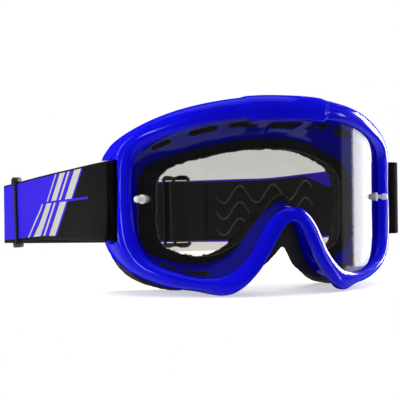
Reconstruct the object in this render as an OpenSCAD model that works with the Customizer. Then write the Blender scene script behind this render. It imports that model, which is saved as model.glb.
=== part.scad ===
// Motocross goggles: a wrapped frame with a clear lens, layered face foam and an elastic strap.
// X runs across the face, -Y is the way the wearer looks, and Z is up.
// The origin is where the face foam meets the middle of the brow, level with the lens posts.

/* [Lens] */
// Width of the lens opening, straight across
opening_w = 161; // [152:1:170]
// Height of the lens opening, brow to cheek
opening_h = 89.2; // [84:0.2:96]
// Radius of the lens's outer face
lens_r = 100; // [97:1:112]
// Thickness of the lens
lens_t = 1.2; // [0.8:0.1:1.4]
// How far the lens reaches into its groove
lens_seat = 2.2; // [1.6:0.1:2.6]
// Clearance around the lens in its groove
lens_gap = 0.3; // [0.1:0.05:0.4]

/* [Frame] */
// Thickness of the frame's walls
wall = 2.2; // [1.8:0.1:2.6]
// How far the bezel stands proud of the lens
bezel_proud = 3.2; // [2.4:0.1:4]
// Depth from the lens front to the face flange at the brow
brow_depth = 24; // [21:1:28]
// Extra depth that the flange gains at the temples
face_wrap = 36; // [32:1:38]
// How far the flange comes forward over the nose
nose_pull = 12; // [8:0.5:13]
// Depth of the recess for the bare brow panel
panel_recess = 0.6; // [0.3:0.1:1]
// Half width of the brow panel
panel_half = 23; // [18:1:30]
// Radius of the bar that the strap loops round
bar_r = 2.2; // [1.8:0.1:2.4]
// Room above and below the strap in its notch
notch_room = 0.8; // [0.6:0.2:2]

/* [Face foam] */
// Thickness of the firm foam on the flange
foam_base_t = 6.5; // [5:0.5:8]
// Thickness of the soft foam behind it
foam_face_t = 7.5; // [5:0.5:9]
// Thickness of the fleece against the skin
fleece_t = 2; // [1.5:0.5:3]
// Thickness of the foam over the vents
vent_foam_t = 4; // [3:0.5:4.5]

/* [Strap] */
// Width of the strap
strap_w = 45; // [40:1:48]
// Thickness of the strap
strap_t = 1.6; // [1.2:0.1:1.8]
// Clearance between layers of the strap and what they pass
strap_gap = 0.3; // [0.2:0.05:0.4]
// Length of the sewn tab behind a slider
tab_len = 24; // [18:1:30]
// Distance between the crests of the grip lines
bead_pitch = 25; // [16:1:28]
// Height of a grip line's wave, crest to trough
bead_wave = 12; // [6:0.5:12]
// Distance between neighbouring grip lines
bead_step = 11.5; // [10:0.5:12]
// Width of a grip line
bead_w = 1.4; // [1:0.1:2]
// Height of a grip line above the strap
bead_h = 0.7; // [0.4:0.1:1]

/* [Sliders] */
// Length of a slider along the strap
slider_len = 20; // [17:1:24]
// Thickness of a slider's bars
slider_bar = 2.4; // [2:0.1:2.8]
// Height of a slider's end rails
rail_h = 3.4; // [2.6:0.2:4.4]
// Room between the strap's edge and a slider's rail
rail_room = 0.6; // [0.4:0.1:1]

/* [Lens posts] */
// Distance of each post from the middle, straight across
post_x = 75.6; // [66:0.2:76]
// Height of the posts above the origin
post_z = 0.8; // [-6:0.2:8]
// Radius of a post's shank
shank_r = 1.5; // [1.2:0.1:1.8]
// Clearance round the shank in the lens
shank_gap = 0.08; // [0.03:0.01:0.1]
// Radius of a post's head
head_r = 1.9; // [1.7:0.1:2.3]
// Length of a post from collar to tip
post_len = 7.6; // [6:0.2:9]
// Radius of a post's collar
collar_r = 2.6; // [2.3:0.1:3]

/* [Hidden] */

// Right-hand halves of the outlines seen from the front, brow middle to nose middle.
OPENING = [[0, 46], [21.8, 45], [44.4, 42.2], [62.9, 36.5], [74.5, 30], [79.3, 22], [80.5, 8],
           [79.9, -9], [78, -23], [72.4, -34], [61.3, -40], [48, -43.2], [35.3, -41], [24.6, -31],
           [15.4, -14.4], [7.4, -6.3], [0, -4.6]];
OUTSIDE = [[0, 57.8], [23, 57], [48, 53], [68, 46.4], [84, 36.4], [91, 26.5], [92, 8],
           [92, -9], [90, -26.5], [82, -39.4], [66, -47.8], [49.5, -51], [35, -52.4],
           [20, -40], [7.2, -18.5], [3.6, -14], [0, -12.4]];
FUNNEL = [[0, 34.5], [16, 33.8], [32, 31.2], [47, 27], [61, 22.5], [69, 15.5], [71, 5],
          [71, -9], [70.5, -21], [66, -29.5], [56, -34.5], [44, -36.8], [33, -35.4],
          [22, -28], [12.5, -12], [6, -3.6], [0, -1]];
FOAM_IN = [[0, 28.8], [13, 28.5], [27, 26.6], [40, 23.6], [52, 19.6], [59.5, 13], [60.5, 4],
           [60.5, -9], [60, -19], [57, -26.5], [50, -30.3], [41, -32.6], [31, -31.6],
           [20, -24.5], [10.5, -9.5], [5.5, -0.5], [0, 2.8]];
FOAM_OUT = [[0, 54], [22, 53], [46, 49.5], [66, 43.5], [78.5, 35.5], [83.5, 26], [84.5, 10],
            [84.5, -9], [84, -26], [80, -37], [69, -47.5], [52, -52.6], [37, -49],
            [21, -43.2], [10, -38.6], [4.3, -32.2], [0, -27.3]];
FLANGE = [[0, 52], [21.4, 51], [44.6, 47.6], [64, 41.8], [76.7, 34], [82, 25], [83.2, 9.5],
          [83.2, -9], [82.4, -25.2], [77.6, -35], [66.2, -44.4], [50.4, -48.4], [37.5, -46],
          [26.5, -39.2], [15.4, -24.4], [7.9, -13], [0, -8.2]];
// Stations between two neighbouring points of an outline.
sub = 4;
half_stations = (len(OPENING) - 1) * sub;
stations = 2 * half_stations;
shown_half_w = max([for (p = OPENING) p[0]]);
shown_h = OPENING[0][1] - min([for (p = OPENING) p[1]]);
sx = opening_w / 2 / shown_half_w;
sz = opening_h / shown_h;
front_y = -(brow_depth + foam_base_t + foam_face_t + fleece_t);

glue = 0.2;
function mix(a, b, t) = a + (b - a) * t;
function smooth(t) = let (c = min(max(t, 0), 1)) c * c * (3 - 2 * c);
function unit(v) = v / norm(v);
// A point of a curve that passes through the points b and c.
function curve(a, b, c, d, t) = 0.5 * (2 * b + (c - a) * t + (2 * a - 5 * b + 4 * c - d) * t * t
    + (3 * b - a - 3 * c + d) * t * t * t);
function whole(half) = let (n = len(half))
    [for (k = [0 : 2 * n - 3]) let (p = half[k < n ? k : 2 * n - 2 - k])
        [(k < n ? 1 : -1) * p[0] * sx, p[1] * sz]];
function rail(half) = let (w = whole(half), n = len(w))
    [for (k = [0 : n - 1]) for (j = [0 : sub - 1])
        curve(w[(k + n - 1) % n], w[k], w[(k + 1) % n], w[(k + 2) % n], j / sub)];
function path(points, steps) = let (n = len(points))
    [for (k = [0 : n - 2]) for (j = [0 : steps - (k < n - 2 ? 1 : 0)])
        curve(points[max(k - 1, 0)], points[k], points[k + 1], points[min(k + 2, n - 1)], j / steps)];
// Faces of a row of rings of m points each, joined end to end or capped.
function ring_faces(rings, m, closed) = concat(
    [for (i = [0 : rings - (closed ? 1 : 2)]) for (j = [0 : m - 1])
        let (a = i * m, b = ((i + 1) % rings) * m, k = (j + 1) % m)
        each [[a + j, a + k, b + k], [a + j, b + k, b + j]]],
    closed ? [] : [[for (j = [m - 1 : -1 : 0]) j], [for (j = [0 : m - 1]) (rings - 1) * m + j]]);

module rings_solid(rings, closed) {
    polyhedron([for (r = rings) each r], ring_faces(len(rings), len(rings[0]), closed));
}

opening = rail(OPENING);
outside = rail(OUTSIDE);
funnel = rail(FUNNEL);
foam_in = rail(FOAM_IN);
foam_out = rail(FOAM_OUT);
flange = rail(FLANGE);

// Depth of the lens's outer face, and of the face flange, behind a point seen from the front.
function lens_y(x) = front_y + lens_r - sqrt(lens_r * lens_r - x * x);
flank_half = 85;
nose_half = 26;
nose_top = 22;
nose_blend = 18;
function face_y(p) = front_y + brow_depth + face_wrap * smooth(abs(p[0]) / sx / flank_half)
    - nose_pull * (1 - smooth(abs(p[0]) / sx / nose_half)) * smooth((nose_top - p[1]) / nose_blend);
// How steeply the lens falls away where the bezel crosses it, nil at the brow.
function tilt(p) = p[0] * p[0] / lens_r / sqrt(lens_r * lens_r - p[0] * p[0]);
// Depth of the bezel's skirt: deepest in the ears round the strap, shallow under the nose.
brow_skirt = 10;
wing_skirt = 16.5;
ear_depth = 5.5;
nose_skirt = 1.5;
// How much a point belongs to the nose, fading out from one distance to another.
function nose_part(p, from, to) = p[1] < nose_top ? 1 - smooth((abs(p[0]) / sx - from) / (to - from)) : 0;
function ear(p) = smooth((25 - p[1]) / 5) * smooth((p[1] + 32.5) / 5);
function skirt(p) = let (side = smooth((abs(p[0]) / sx - 60) / 20))
    mix(mix(brow_skirt, wing_skirt + ear_depth * ear(p), side), nose_skirt, nose_part(p, 22, 46));
function recess(x) = panel_recess * (1 - smooth((abs(x) - panel_half) / 3));
function lift(p, y) = [p[0], y, p[1]];
// A point of the bezel: how far out it is, as a share of the band, and how far behind the lens front.
function band(i, share, back) = lift(mix(opening[i], outside[i], share), lens_y(opening[i][0]) + back);
function neck_front(i) = band(i, 0.34, lens_t + 3.2 + 2.6 * tilt(opening[i]));
function neck_back(i) = let (p = mix(funnel[i], flange[i], 0.19))
    lift(p, face_y(p) - wall);
// The bezel's section: its lip dips at the panel, and its outer edge stands forward at the nose.
panel_lip = 1.3;
nose_proud = 1;
function frame_ring(i) = let (o = opening[i], t = tilt(o), brow = o[1] > nose_top ? recess(o[0]) : 0,
        dip = [0, 0, -panel_lip * brow / panel_recess], crown = smooth((o[1] - nose_top) / 12),
        lip = nose_part(o, 30, 50), front = -bezel_proud - nose_proud)
    [band(i, 0, -1.1 - 0.3 * t) + dip,
     band(i, 0.12, 1 - bezel_proud + brow) + dip,
     band(i, 0.34, brow - bezel_proud - 0.5 * nose_proud * lip),
     band(i, 0.62, mix(1.3 - bezel_proud + brow, front, lip)),
     band(i, 0.85, mix(1.2 - 1.2 * crown + brow, front, lip)),
     band(i, 1 - brow / 20, mix(min(7.5 - 3 * crown, skirt(o) - 1) + brow, 0.2 - bezel_proud, lip)),
     band(i, 1, skirt(o)),
     band(i, 0.8, skirt(o)),
     band(i, 0.8, min(7.2, skirt(o) - 1)),
     band(i, 0.42, 3.2),
     neck_front(i),
     neck_back(i),
     lift(flange[i], face_y(flange[i]) - wall),
     lift(flange[i], face_y(flange[i])),
     lift(funnel[i], face_y(funnel[i])),
     band(i, 0.02, lens_t + 1.7 + t)];

// The notch in each wing and the bar in it.
notch_h = strap_w / 2 + notch_room;
bar_root = 1.2;
wing_x = max([for (p = outside) p[0]]);
bar_x = wing_x - 2;
bar_y = lens_y(shown_half_w * sx) + 5.8;
loop_r = bar_r + strap_gap + strap_t / 2;
loop_slack = 2.1;
slack_r = loop_r + loop_slack;
notch_front = bar_y - slack_r - strap_t / 2 - strap_gap;

// Vent slots, given as the stations that each one spans.
TOP_VENTS = [[-2, 2], [3, 6], [7, 10], [12, 15], [-6, -3], [-10, -7], [-15, -12]];
BOTTOM_VENTS = [[38, 41], [42, 46]];
function at(i) = (i + stations) % stations;
function outward(i) = let (v = outside[i] - opening[i]) [v[0], 0, v[1]] / norm(v);
function neck(i, share, out) = mix(neck_front(i), neck_back(i), share) + outward(i) * out;

module vent_slot(first, last, near, far) {
    rings_solid([for (k = [first : last]) let (i = at(k))
        [neck(i, near, -7), neck(i, near, 3), neck(i, far, 3), neck(i, far, -7)]], false);
}

module lens_blank(grow, gap) {
    edge = [for (i = [0 : 2 : stations - 1])
        let (n = unit([opening[at(i + 1)][1] - opening[at(i - 1)][1],
                       opening[at(i - 1)][0] - opening[at(i + 1)][0]]))
        opening[i] - n * (lens_seat + grow)];
    intersection() {
        translate([0, front_y + lens_r, 0])
            difference() {
                cylinder(r = lens_r + gap, h = 3 * opening_h, center = true, $fn = 180);
                cylinder(r = lens_r - lens_t - gap, h = 3 * opening_h + 2, center = true, $fn = 180);
            }
        translate([0, front_y + lens_r / 2, 0])
            rotate([90, 0, 0])
                linear_extrude(lens_r + 10, center = true)
                    polygon(edge);
    }
}

module frame() {
    color("#1414d8")
    difference() {
        union() {
            rings_solid([for (i = [0 : stations - 1]) frame_ring(i)], true);
            for (s = [-1, 1])
                translate([s * bar_x, bar_y, 0])
                    cylinder(r = bar_r, h = 2 * (notch_h + bar_root), center = true, $fn = 48);
        }
        lens_blank(lens_gap, lens_gap);
        for (s = [-1, 1])
            strap_notch(s);
        for (v = TOP_VENTS)
            vent_slot(v[0], v[1], 0.1, 0.34);
        for (v = BOTTOM_VENTS) {
            vent_slot(v[0], v[1], 0.15, 0.5);
            vent_slot(-v[1], -v[0], 0.15, 0.5);
        }
    }
}

// The space cut from a wing round its bar, the bar itself left standing.
module strap_notch(s) {
    deep = 40;
    difference() {
        translate([s * (bar_x - loop_r - strap_t / 2 - 1.2 + deep / 2), notch_front + deep / 2, 0])
            cube([deep, deep, 2 * notch_h], center = true);
        translate([s * bar_x, bar_y, 0])
            cylinder(r = bar_r, h = 2 * (notch_h + bar_root), center = true, $fn = 48);
    }
}

module lens() {
    color("#dfe8ec", 0.3)
    difference() {
        lens_blank(0, 0);
        for (s = [-1, 1])
            at_post(s)
                cylinder(r = shank_r + shank_gap, h = 6 * lens_t, center = true, $fn = 48);
    }
}

// Puts its children on a post's axis, with the lens's outer face at nil height.
module at_post(s) {
    turn = asin(post_x / lens_r);
    translate([s * post_x, lens_y(post_x), post_z])
        rotate([90, 0, s * turn])
            children();
}

// One layer of the face foam. Over the nose its front makes a flap that thins out behind.
module ring_layer(near, far) {
    total = foam_base_t + foam_face_t + fleece_t;
    flare = 0.34;
    flap_cut = 0.85;
    rings_solid([for (i = [0 : stations - 1])
        let (f = foam_out[i], g = flange[i], d = funnel[i], e = foam_in[i],
             e_near = mix(e, d, flare * near / total), e_far = mix(e, d, flare * far / total),
             flap = flap_cut * nose_part(opening[i], 24, 40), in_y = face_y(e),
             f_near = mix(f, g, flap * smooth(near / total)), f_far = mix(f, g, flap * smooth(far / total)))
        [lift(e_near, in_y + near), lift(d, face_y(d) + near), lift(g, face_y(g) + near),
         lift(f_near, face_y(f_near) + near), lift(f_far, face_y(f_far) + far), lift(g, face_y(g) + far),
         lift(d, face_y(d) + far), lift(e_far, in_y + far)]], true);
}

module foam_base() {
    color("#1b1b1b") ring_layer(glue, foam_base_t);
}

module foam_face() {
    color("#222222") ring_layer(foam_base_t + glue, foam_base_t + foam_face_t);
}

module face_fleece() {
    color("#2c2c2c") ring_layer(foam_base_t + foam_face_t + glue, foam_base_t + foam_face_t + fleece_t);
}

// A strip of open foam laid in the channel over a row of vents.
module vent_foam(first, last, near, far) {
    color("#241a16")
        rings_solid([for (k = [first : last]) let (i = at(k))
            [neck(i, near, strap_gap), neck(i, near, vent_foam_t),
             neck(i, far, vent_foam_t), neck(i, far, strap_gap)]], false);
}

module vent_foam_top() {
    vent_foam(-16, 16, 0.2, 0.86);
}

module vent_foam_bottom_right() {
    vent_foam(37, 47, 0.2, 0.8);
}

module vent_foam_bottom_left() {
    vent_foam(-47, -37, 0.2, 0.8);
}

// The strap's middle surface, from the left bar round the back to the right bar. It grows with the frame.
// Runs that a slider travels along are straight. The loop at the right-hand bar is slack.
reach = bar_x / 90;
LEFT_RUN = reach * [[-97.1, 153, -4.1], [-108.4, 236, -9.5]];
REAR_RUN = reach * [[-96.6, 242, -10.2], [52, 95.4, -7.4]];
LEFT_LEAD = reach * [[-95.2, 28, -0.7], [-95.4, 60, -1.5], [-95.6, 92, -2.3], [-96.1, 124, -3.1]];
RIGHT_LEAD = reach * [[68, 75.5, -5.4], [81, 52, -3.2], [90.5, 30, -1.2], [95.6, 17.5, -0.3]];
fold_r = 7 * reach;
fold_turn = 142;
fold_start = 188.2;
fold_mid = [LEFT_RUN[1][0] - fold_r * cos(fold_start), LEFT_RUN[1][1] - fold_r * sin(fold_start)];
function run(ends, n, from, to) = [for (k = [from : to]) mix(ends[0], ends[1], k / n)];
BAND_POINTS = concat(
    [for (a = [0 : 45 : 180]) [-bar_x + loop_r * cos(a), bar_y - loop_r * sin(a), 0]],
    LEFT_LEAD,
    run(LEFT_RUN, 6, 0, 6),
    [for (k = [1 : 3]) let (a = fold_start - fold_turn * k / 4)
        [fold_mid[0] + fold_r * cos(a), fold_mid[1] + fold_r * sin(a),
         mix(LEFT_RUN[1][2], REAR_RUN[0][2], k / 4)]],
    run(REAR_RUN, 8, 0, 8),
    RIGHT_LEAD,
    [for (a = [0 : 36 : 180]) [bar_x + loop_slack + slack_r * cos(a), bar_y - slack_r * sin(a), 0]]);
band_steps = 3;
band_path = path(BAND_POINTS, band_steps);

// Level direction across a path, to the inside of the strap's loop.
function across(pts, i) = let (d = pts[min(i + 1, len(pts) - 1)] - pts[max(i - 1, 0)])
    unit([d[1], -d[0], 0]);
function shifted(pts, amounts) = [for (i = [0 : len(pts) - 1]) pts[i] + across(pts, i) * amounts[i]];

// A ribbon of webbing along a path, its width square to the path and as upright as that allows.
function rise(pts, i) = let (u = unit(pts[min(i + 1, len(pts) - 1)] - pts[max(i - 1, 0)]))
    unit([-u[0] * u[2], -u[1] * u[2], 1 - u[2] * u[2]]);
module ribbon(pts, width) {
    rings_solid([for (i = [0 : len(pts) - 1])
        let (n = across(pts, i) * strap_t / 2, h = rise(pts, i) * width / 2)
        [pts[i] - n - h, pts[i] + n - h, pts[i] + n + h, pts[i] - n + h]], false);
}

module strap_band() {
    color("#2323d8") ribbon(band_path, strap_w);
}

// Where the sliders sit, as shares of their runs, and the way that each run points to its bar.
slider_share_left = 0.735;
slider_share_right = 0.655;
left_way = unit(LEFT_RUN[0] - LEFT_RUN[1]);
right_way = unit(REAR_RUN[1] - REAR_RUN[0]);
left_seat = mix(LEFT_RUN[0], LEFT_RUN[1], slider_share_left);
right_seat = mix(REAR_RUN[0], REAR_RUN[1], slider_share_right);

layer = strap_t + strap_gap;
hairpin_r = slider_bar / 2 + strap_gap + strap_t / 2;
hairpin_mid = layer + hairpin_r;

// The inner layer, from the bar back to the slider: it closes up on the band behind the bar.
close_left = 46;
close_right = 28;
function return_path(sign) = let (
        seat = sign < 0 ? left_seat : right_seat,
        way = sign < 0 ? left_way : right_way,
        n = len(band_path),
        side = [for (k = [0 : n - 1]) band_path[sign < 0 ? k : n - 1 - k]],
        first = (sign < 0 ? 4 : 5) * band_steps,
        wide = 2 * (sign < 0 ? loop_r : slack_r),
        close = sign < 0 ? close_left : close_right,
        last = max([for (k = [first : floor(n / 2)]) if ((side[k] - seat) * way > 3) k]),
        off = [for (k = [first : last]) mix(wide, layer, smooth((side[k][1] - bar_y - 2) / close))],
        inner = [for (k = [first : last]) side[k] - sign * off[k - first] * across(side, k)])
    concat([[sign * (bar_x - loop_r), bar_y + strap_gap, 0]],
           [for (p = inner) if (p[1] > bar_y + 3) p],
           [seat + way * strap_gap - sign * layer * across(side, last)]);

module strap_return_left() {
    color("#161616") ribbon(return_path(-1), strap_w - 1);
}

module strap_return_right() {
    color("#161616") ribbon(return_path(1), strap_w - 1);
}

// Puts its children at a slider's seat: +X to its bar along the run, +Y to the loop's inside, +Z up.
module at_slider(seat, way, flipped) {
    turn = atan2(way[1], way[0]);
    dip = -asin(way[2]);
    translate(seat)
        rotate([0, 0, turn])
            rotate([0, dip, 0])
                mirror([0, flipped ? 1 : 0, 0])
                    children();
}

// A slider has one bar outside the band, nearer the lug, and two inside. The middle one holds the tab.
module slider() {
    outer_y = -(strap_t / 2 + strap_gap + slider_bar / 2);
    rail_low = strap_w / 2 + rail_room;
    bar_u = slider_len / 2 - slider_bar / 2;
    color("#0c0c0c") {
        for (p = [[bar_u, outer_y], [0, hairpin_mid], [-bar_u, -outer_y]])
            translate([p[0], p[1], 0])
                cylinder(d = slider_bar, h = 2 * rail_low + 1, center = true, $fn = 32);
        for (s = [-1, 1])
            mirror([0, 0, s < 0 ? 1 : 0])
                translate([0, 0, rail_low])
                    slider_rail(outer_y);
    }
}

// One end rail of a slider, with a hump over each outer bar.
module slider_rail(outer_y) {
    half = slider_len / 2;
    low_y = outer_y - slider_bar / 2;
    high_y = hairpin_mid + slider_bar / 2;
    intersection() {
        linear_extrude(rail_h)
            polygon([[-half, -low_y - slider_bar], [half - slider_bar, low_y], [half, low_y],
                     [half, outer_y + slider_bar / 2 + 0.5], [slider_bar, high_y], [-slider_bar, high_y],
                     [-half, -low_y]]);
        rotate([90, 0, 0])
            linear_extrude(3 * slider_len, center = true)
                polygon([[-half, 0], [half, 0], [half, rail_h * 0.35], [half * 0.72, rail_h],
                         [half * 0.45, rail_h], [half * 0.2, rail_h * 0.72], [-half * 0.2, rail_h * 0.72],
                         [-half * 0.45, rail_h], [-half * 0.72, rail_h], [-half, rail_h * 0.35]]);
    }
}

module slider_left() {
    at_slider(left_seat, left_way, false) slider();
}

module slider_right() {
    at_slider(right_seat, right_way, true) slider();
}

// The end of the webbing: round the slider's middle bar and back along the inner layer.
tab_gap = 0.15;
tab_rest = layer + strap_t + tab_gap;
TAB_POINTS = concat(
    [for (a = [0 : 36 : 180]) [-hairpin_r * sin(a), hairpin_mid - hairpin_r * cos(a), 0]],
    [[tab_len / 6, mix(hairpin_mid + hairpin_r, tab_rest, 0.25), 0],
     [tab_len / 3, mix(hairpin_mid + hairpin_r, tab_rest, 0.8), 0],
     for (share = [0.48, 0.7, 1]) [tab_len * share, tab_rest, 0]]);

module tab() {
    color("#1a1a1a") ribbon(path(TAB_POINTS, 2), strap_w - 1.6);
}

module strap_tab_left() {
    at_slider(left_seat, left_way, false) tab();
}

module strap_tab_right() {
    at_slider(right_seat, right_way, true) tab();
}

// Two rows of stitches across the tab, at these shares of its length.
stitch_pitch = 3;
stitch_edge = 4;
STITCH_ROWS = [0.625, 0.875];
module tab_stitches() {
    rows = floor((strap_w - 2 * stitch_edge) / stitch_pitch);
    color("#303030")
        for (u = tab_len * STITCH_ROWS)
            for (k = [0 : rows - 1])
                translate([u, tab_rest + strap_t / 2 + 0.2, (k - (rows - 1) / 2) * stitch_pitch])
                    cube([0.6, 0.4, stitch_pitch * 0.7], center = true);
}

module tab_stitches_left() {
    at_slider(left_seat, left_way, false) tab_stitches();
}

module tab_stitches_right() {
    at_slider(right_seat, right_way, true) tab_stitches();
}

// Three wavy grip lines on the face of a layer that the head or helmet touches.
bead_sides = 8;
function dense(pts, from, to, gap) = let (
        lengths = [for (i = 0, s = 0; i < len(pts); s = s + (i + 1 < len(pts) ? norm(pts[i + 1] - pts[i]) : 0), i = i + 1) s],
        count = floor((lengths[len(pts) - 1] - from - to) / gap))
    [for (k = [0 : count]) let (s = from + k * gap,
        i = max([for (j = [0 : len(pts) - 2]) if (lengths[j] <= s) j]))
        concat(mix(pts[i], pts[i + 1], (s - lengths[i]) / (lengths[i + 1] - lengths[i])), [s])];

module beads(pts, side, from, to) {
    line = dense(pts, from, to, bead_pitch / bead_sides);
    color("#3a3a3c")
        for (row = [-1 : 1])
            rings_solid([for (i = [0 : len(line) - 1])
                let (p = line[i], n = across(line3(line), i) * side,
                     z = row * bead_step + bead_wave / 2 * sin(360 * p[3] / bead_pitch),
                     root = [p[0], p[1], p[2] + z] + n * (strap_t / 2 + 0.02),
                     h = [0, 0, bead_w / 2])
                side > 0 ? [root - h, root + n * bead_h, root + h] : [root + h, root + n * bead_h, root - h]], false);
}
function line3(line) = [for (p = line) [p[0], p[1], p[2]]];

module grip_beads_left() {
    beads(return_path(-1), 1, 70, tab_len + 6);
}

module grip_beads_right() {
    beads(return_path(1), -1, 60, tab_len + 6);
}

// The middle stretch of the band, between the sliders.
module grip_beads_rear() {
    beads([for (k = [0 : 12]) mix(REAR_RUN[0], REAR_RUN[1], 0.02 + 0.52 * k / 12)], 1, 0, 0);
}

// A stud with a waisted head that a tear-off film hooks onto.
post_seat = 0.1;
collar_t = 1.4;
module post() {
    waist_r = head_r - 0.8;
    head_from = post_len - 3.4;
    color("#e8e8e6")
        rotate_extrude($fn = 48)
            polygon([[0, -lens_t - washer_t - 1.6], [shank_r - 0.3, -lens_t - washer_t - 1.6],
                     [shank_r, -lens_t - washer_t - 1], [shank_r, post_seat], [collar_r, post_seat],
                     [collar_r, collar_t], [waist_r, collar_t], [waist_r, head_from - 0.6],
                     [head_r, head_from], [head_r, post_len - 1], [head_r - 0.7, post_len],
                     [0, post_len]]);
}

washer_t = 1.2;
washer_r = 2.4;
module post_washer() {
    color("#dcdcd8")
        translate([0, 0, -lens_t - post_seat - washer_t])
            difference() {
                cylinder(r = washer_r, h = washer_t, $fn = 48);
                translate([0, 0, -1])
                    cylinder(r = shank_r, h = washer_t + 2, $fn = 48);
            }
}

module post_left() {
    at_post(-1) post();
}

module post_right() {
    at_post(1) post();
}

module post_washer_left() {
    at_post(-1) post_washer();
}

module post_washer_right() {
    at_post(1) post_washer();
}

frame();
lens();
vent_foam_top();
vent_foam_bottom_left();
vent_foam_bottom_right();
foam_base();
foam_face();
face_fleece();
strap_band();
strap_return_left();
strap_return_right();
strap_tab_left();
strap_tab_right();
grip_beads_rear();
grip_beads_left();
grip_beads_right();
tab_stitches_left();
tab_stitches_right();
slider_left();
slider_right();
post_left();
post_right();
post_washer_left();
post_washer_right();
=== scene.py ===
import math

import bmesh
import bpy
import numpy as np
from mathutils import Matrix, Vector, geometry, noise


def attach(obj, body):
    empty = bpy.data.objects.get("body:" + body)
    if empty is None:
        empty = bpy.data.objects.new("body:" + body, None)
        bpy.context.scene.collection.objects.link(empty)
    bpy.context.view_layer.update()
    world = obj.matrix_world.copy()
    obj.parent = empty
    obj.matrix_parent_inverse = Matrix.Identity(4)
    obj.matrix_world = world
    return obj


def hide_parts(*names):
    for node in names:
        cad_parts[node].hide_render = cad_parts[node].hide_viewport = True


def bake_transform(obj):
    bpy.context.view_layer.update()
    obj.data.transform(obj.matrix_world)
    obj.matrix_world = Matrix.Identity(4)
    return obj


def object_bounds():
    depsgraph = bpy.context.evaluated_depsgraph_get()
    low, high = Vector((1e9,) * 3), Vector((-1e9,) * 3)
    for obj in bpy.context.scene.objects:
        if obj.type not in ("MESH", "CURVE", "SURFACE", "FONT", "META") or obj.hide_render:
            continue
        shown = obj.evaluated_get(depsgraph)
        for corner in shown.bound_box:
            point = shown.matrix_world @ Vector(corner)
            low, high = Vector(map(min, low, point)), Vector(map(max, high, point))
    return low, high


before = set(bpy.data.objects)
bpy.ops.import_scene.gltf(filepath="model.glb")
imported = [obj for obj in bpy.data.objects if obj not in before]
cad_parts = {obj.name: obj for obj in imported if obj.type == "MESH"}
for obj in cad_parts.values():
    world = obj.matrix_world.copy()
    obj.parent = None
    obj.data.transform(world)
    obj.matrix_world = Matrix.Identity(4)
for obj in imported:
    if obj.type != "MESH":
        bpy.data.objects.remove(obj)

bl_info = {
    "name": "Motocross goggles",
    "version": (1, 0, 0),
    "blender": (4, 5, 0),
    "location": "View3D > Sidebar > Goggles",
    "description": "Dresses the goggles' frame, lens, foam and strap, and sets up the studio",
    "category": "Object",
}

CAD_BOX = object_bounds()
SHELL = "goggle_frame"
SLIDER_BODIES = {-1: "left_slider", 1: "right_slider"}
POST_BODIES = {-1: "left_post", 1: "right_post"}
SIDE = {-1: "left", 1: "right"}

# Right-hand halves of the outlines seen from the front, brow middle to nose middle, in millimetres.
OPENING = [(0, 46), (21.8, 45), (44.4, 42.2), (62.9, 36.5), (74.5, 30), (79.3, 22), (80.5, 8),
           (79.9, -9), (78, -23), (72.4, -34), (61.3, -40), (48, -43.2), (35.3, -41), (24.6, -31),
           (15.4, -14.4), (7.4, -6.3), (0, -4.6)]
OUTSIDE = [(0, 57.8), (23, 57), (48, 53), (68, 46.4), (84, 36.4), (91, 26.5), (92, 8),
           (92, -9), (90, -26.5), (82, -39.4), (66, -47.8), (49.5, -51), (35, -52.4),
           (20, -40), (7.2, -18.5), (3.6, -14), (0, -12.4)]
FUNNEL = [(0, 34.5), (16, 33.8), (32, 31.2), (47, 27), (61, 22.5), (69, 15.5), (71, 5),
          (71, -9), (70.5, -21), (66, -29.5), (56, -34.5), (44, -36.8), (33, -35.4),
          (22, -28), (12.5, -12), (6, -3.6), (0, -1)]
FOAM_IN = [(0, 28.8), (13, 28.5), (27, 26.6), (40, 23.6), (52, 19.6), (59.5, 13), (60.5, 4),
           (60.5, -9), (60, -19), (57, -26.5), (50, -30.3), (41, -32.6), (31, -31.6),
           (20, -24.5), (10.5, -9.5), (5.5, -0.5), (0, 2.8)]
FOAM_OUT = [(0, 54), (22, 53), (46, 49.5), (66, 43.5), (78.5, 35.5), (83.5, 26), (84.5, 10),
            (84.5, -9), (84, -26), (80, -37), (69, -47.5), (52, -52.6), (37, -49),
            (21, -43.2), (10, -38.6), (4.3, -32.2), (0, -27.3)]
FLANGE = [(0, 52), (21.4, 51), (44.6, 47.6), (64, 41.8), (76.7, 34), (82, 25), (83.2, 9.5),
          (83.2, -9), (82.4, -25.2), (77.6, -35), (66.2, -44.4), (50.4, -48.4), (37.5, -46),
          (26.5, -39.2), (15.4, -24.4), (7.9, -13), (0, -8.2)]
FRONT_Y = -40.0
LENS_R = 100.0
LENS_T = 1.2
LENS_SEAT = 2.2
WALL = 2.2
BEZEL_PROUD = 3.2
BROW_DEPTH = 24.0
FACE_WRAP = 36.0
NOSE_PULL = 12.0
FOAM_BASE = 6.5
FOAM_FACE = 7.5
FLEECE = 2.0
GLUE = 0.2
VENT_FOAM = 4.0
STRAP_W = 45.0
STRAP_T = 1.6
STRAP_GAP = 0.3
BAR_R = 2.2
LOOP_SLACK = 2.1
NOTCH_H = STRAP_W / 2 + 0.8
POST_X = 75.6
POST_Z = 0.8
TAB_LEN = 24.0
BEAD_PITCH = 25.0
BEAD_WAVE = 12.0
BEAD_STEP = 11.5
SLIDER_BAR = 2.4
NOSE_TOP = 22.0
LENS_INDEX = 1.55
POST_HOLE_R = 1.58
PICK_PITCH = 0.95
RIB_PITCH = 1.1
BAR_TAIL = 1.2
NOTCH_GAP = 1.2
NOTCH_LONG = 40
NOTCH_OUT = 130
# Slots in the web: the shares of its depth between which they lie, and their stations from the brow's middle.
VENTS = ((0.1, 0.34, ((-4, 4), (6, 12), (14, 20), (24, 30), (-12, -6), (-20, -14), (-30, -24))),
         (0.15, 0.5, ((76, 82), (84, 92), (-82, -76), (-92, -84))))
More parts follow.
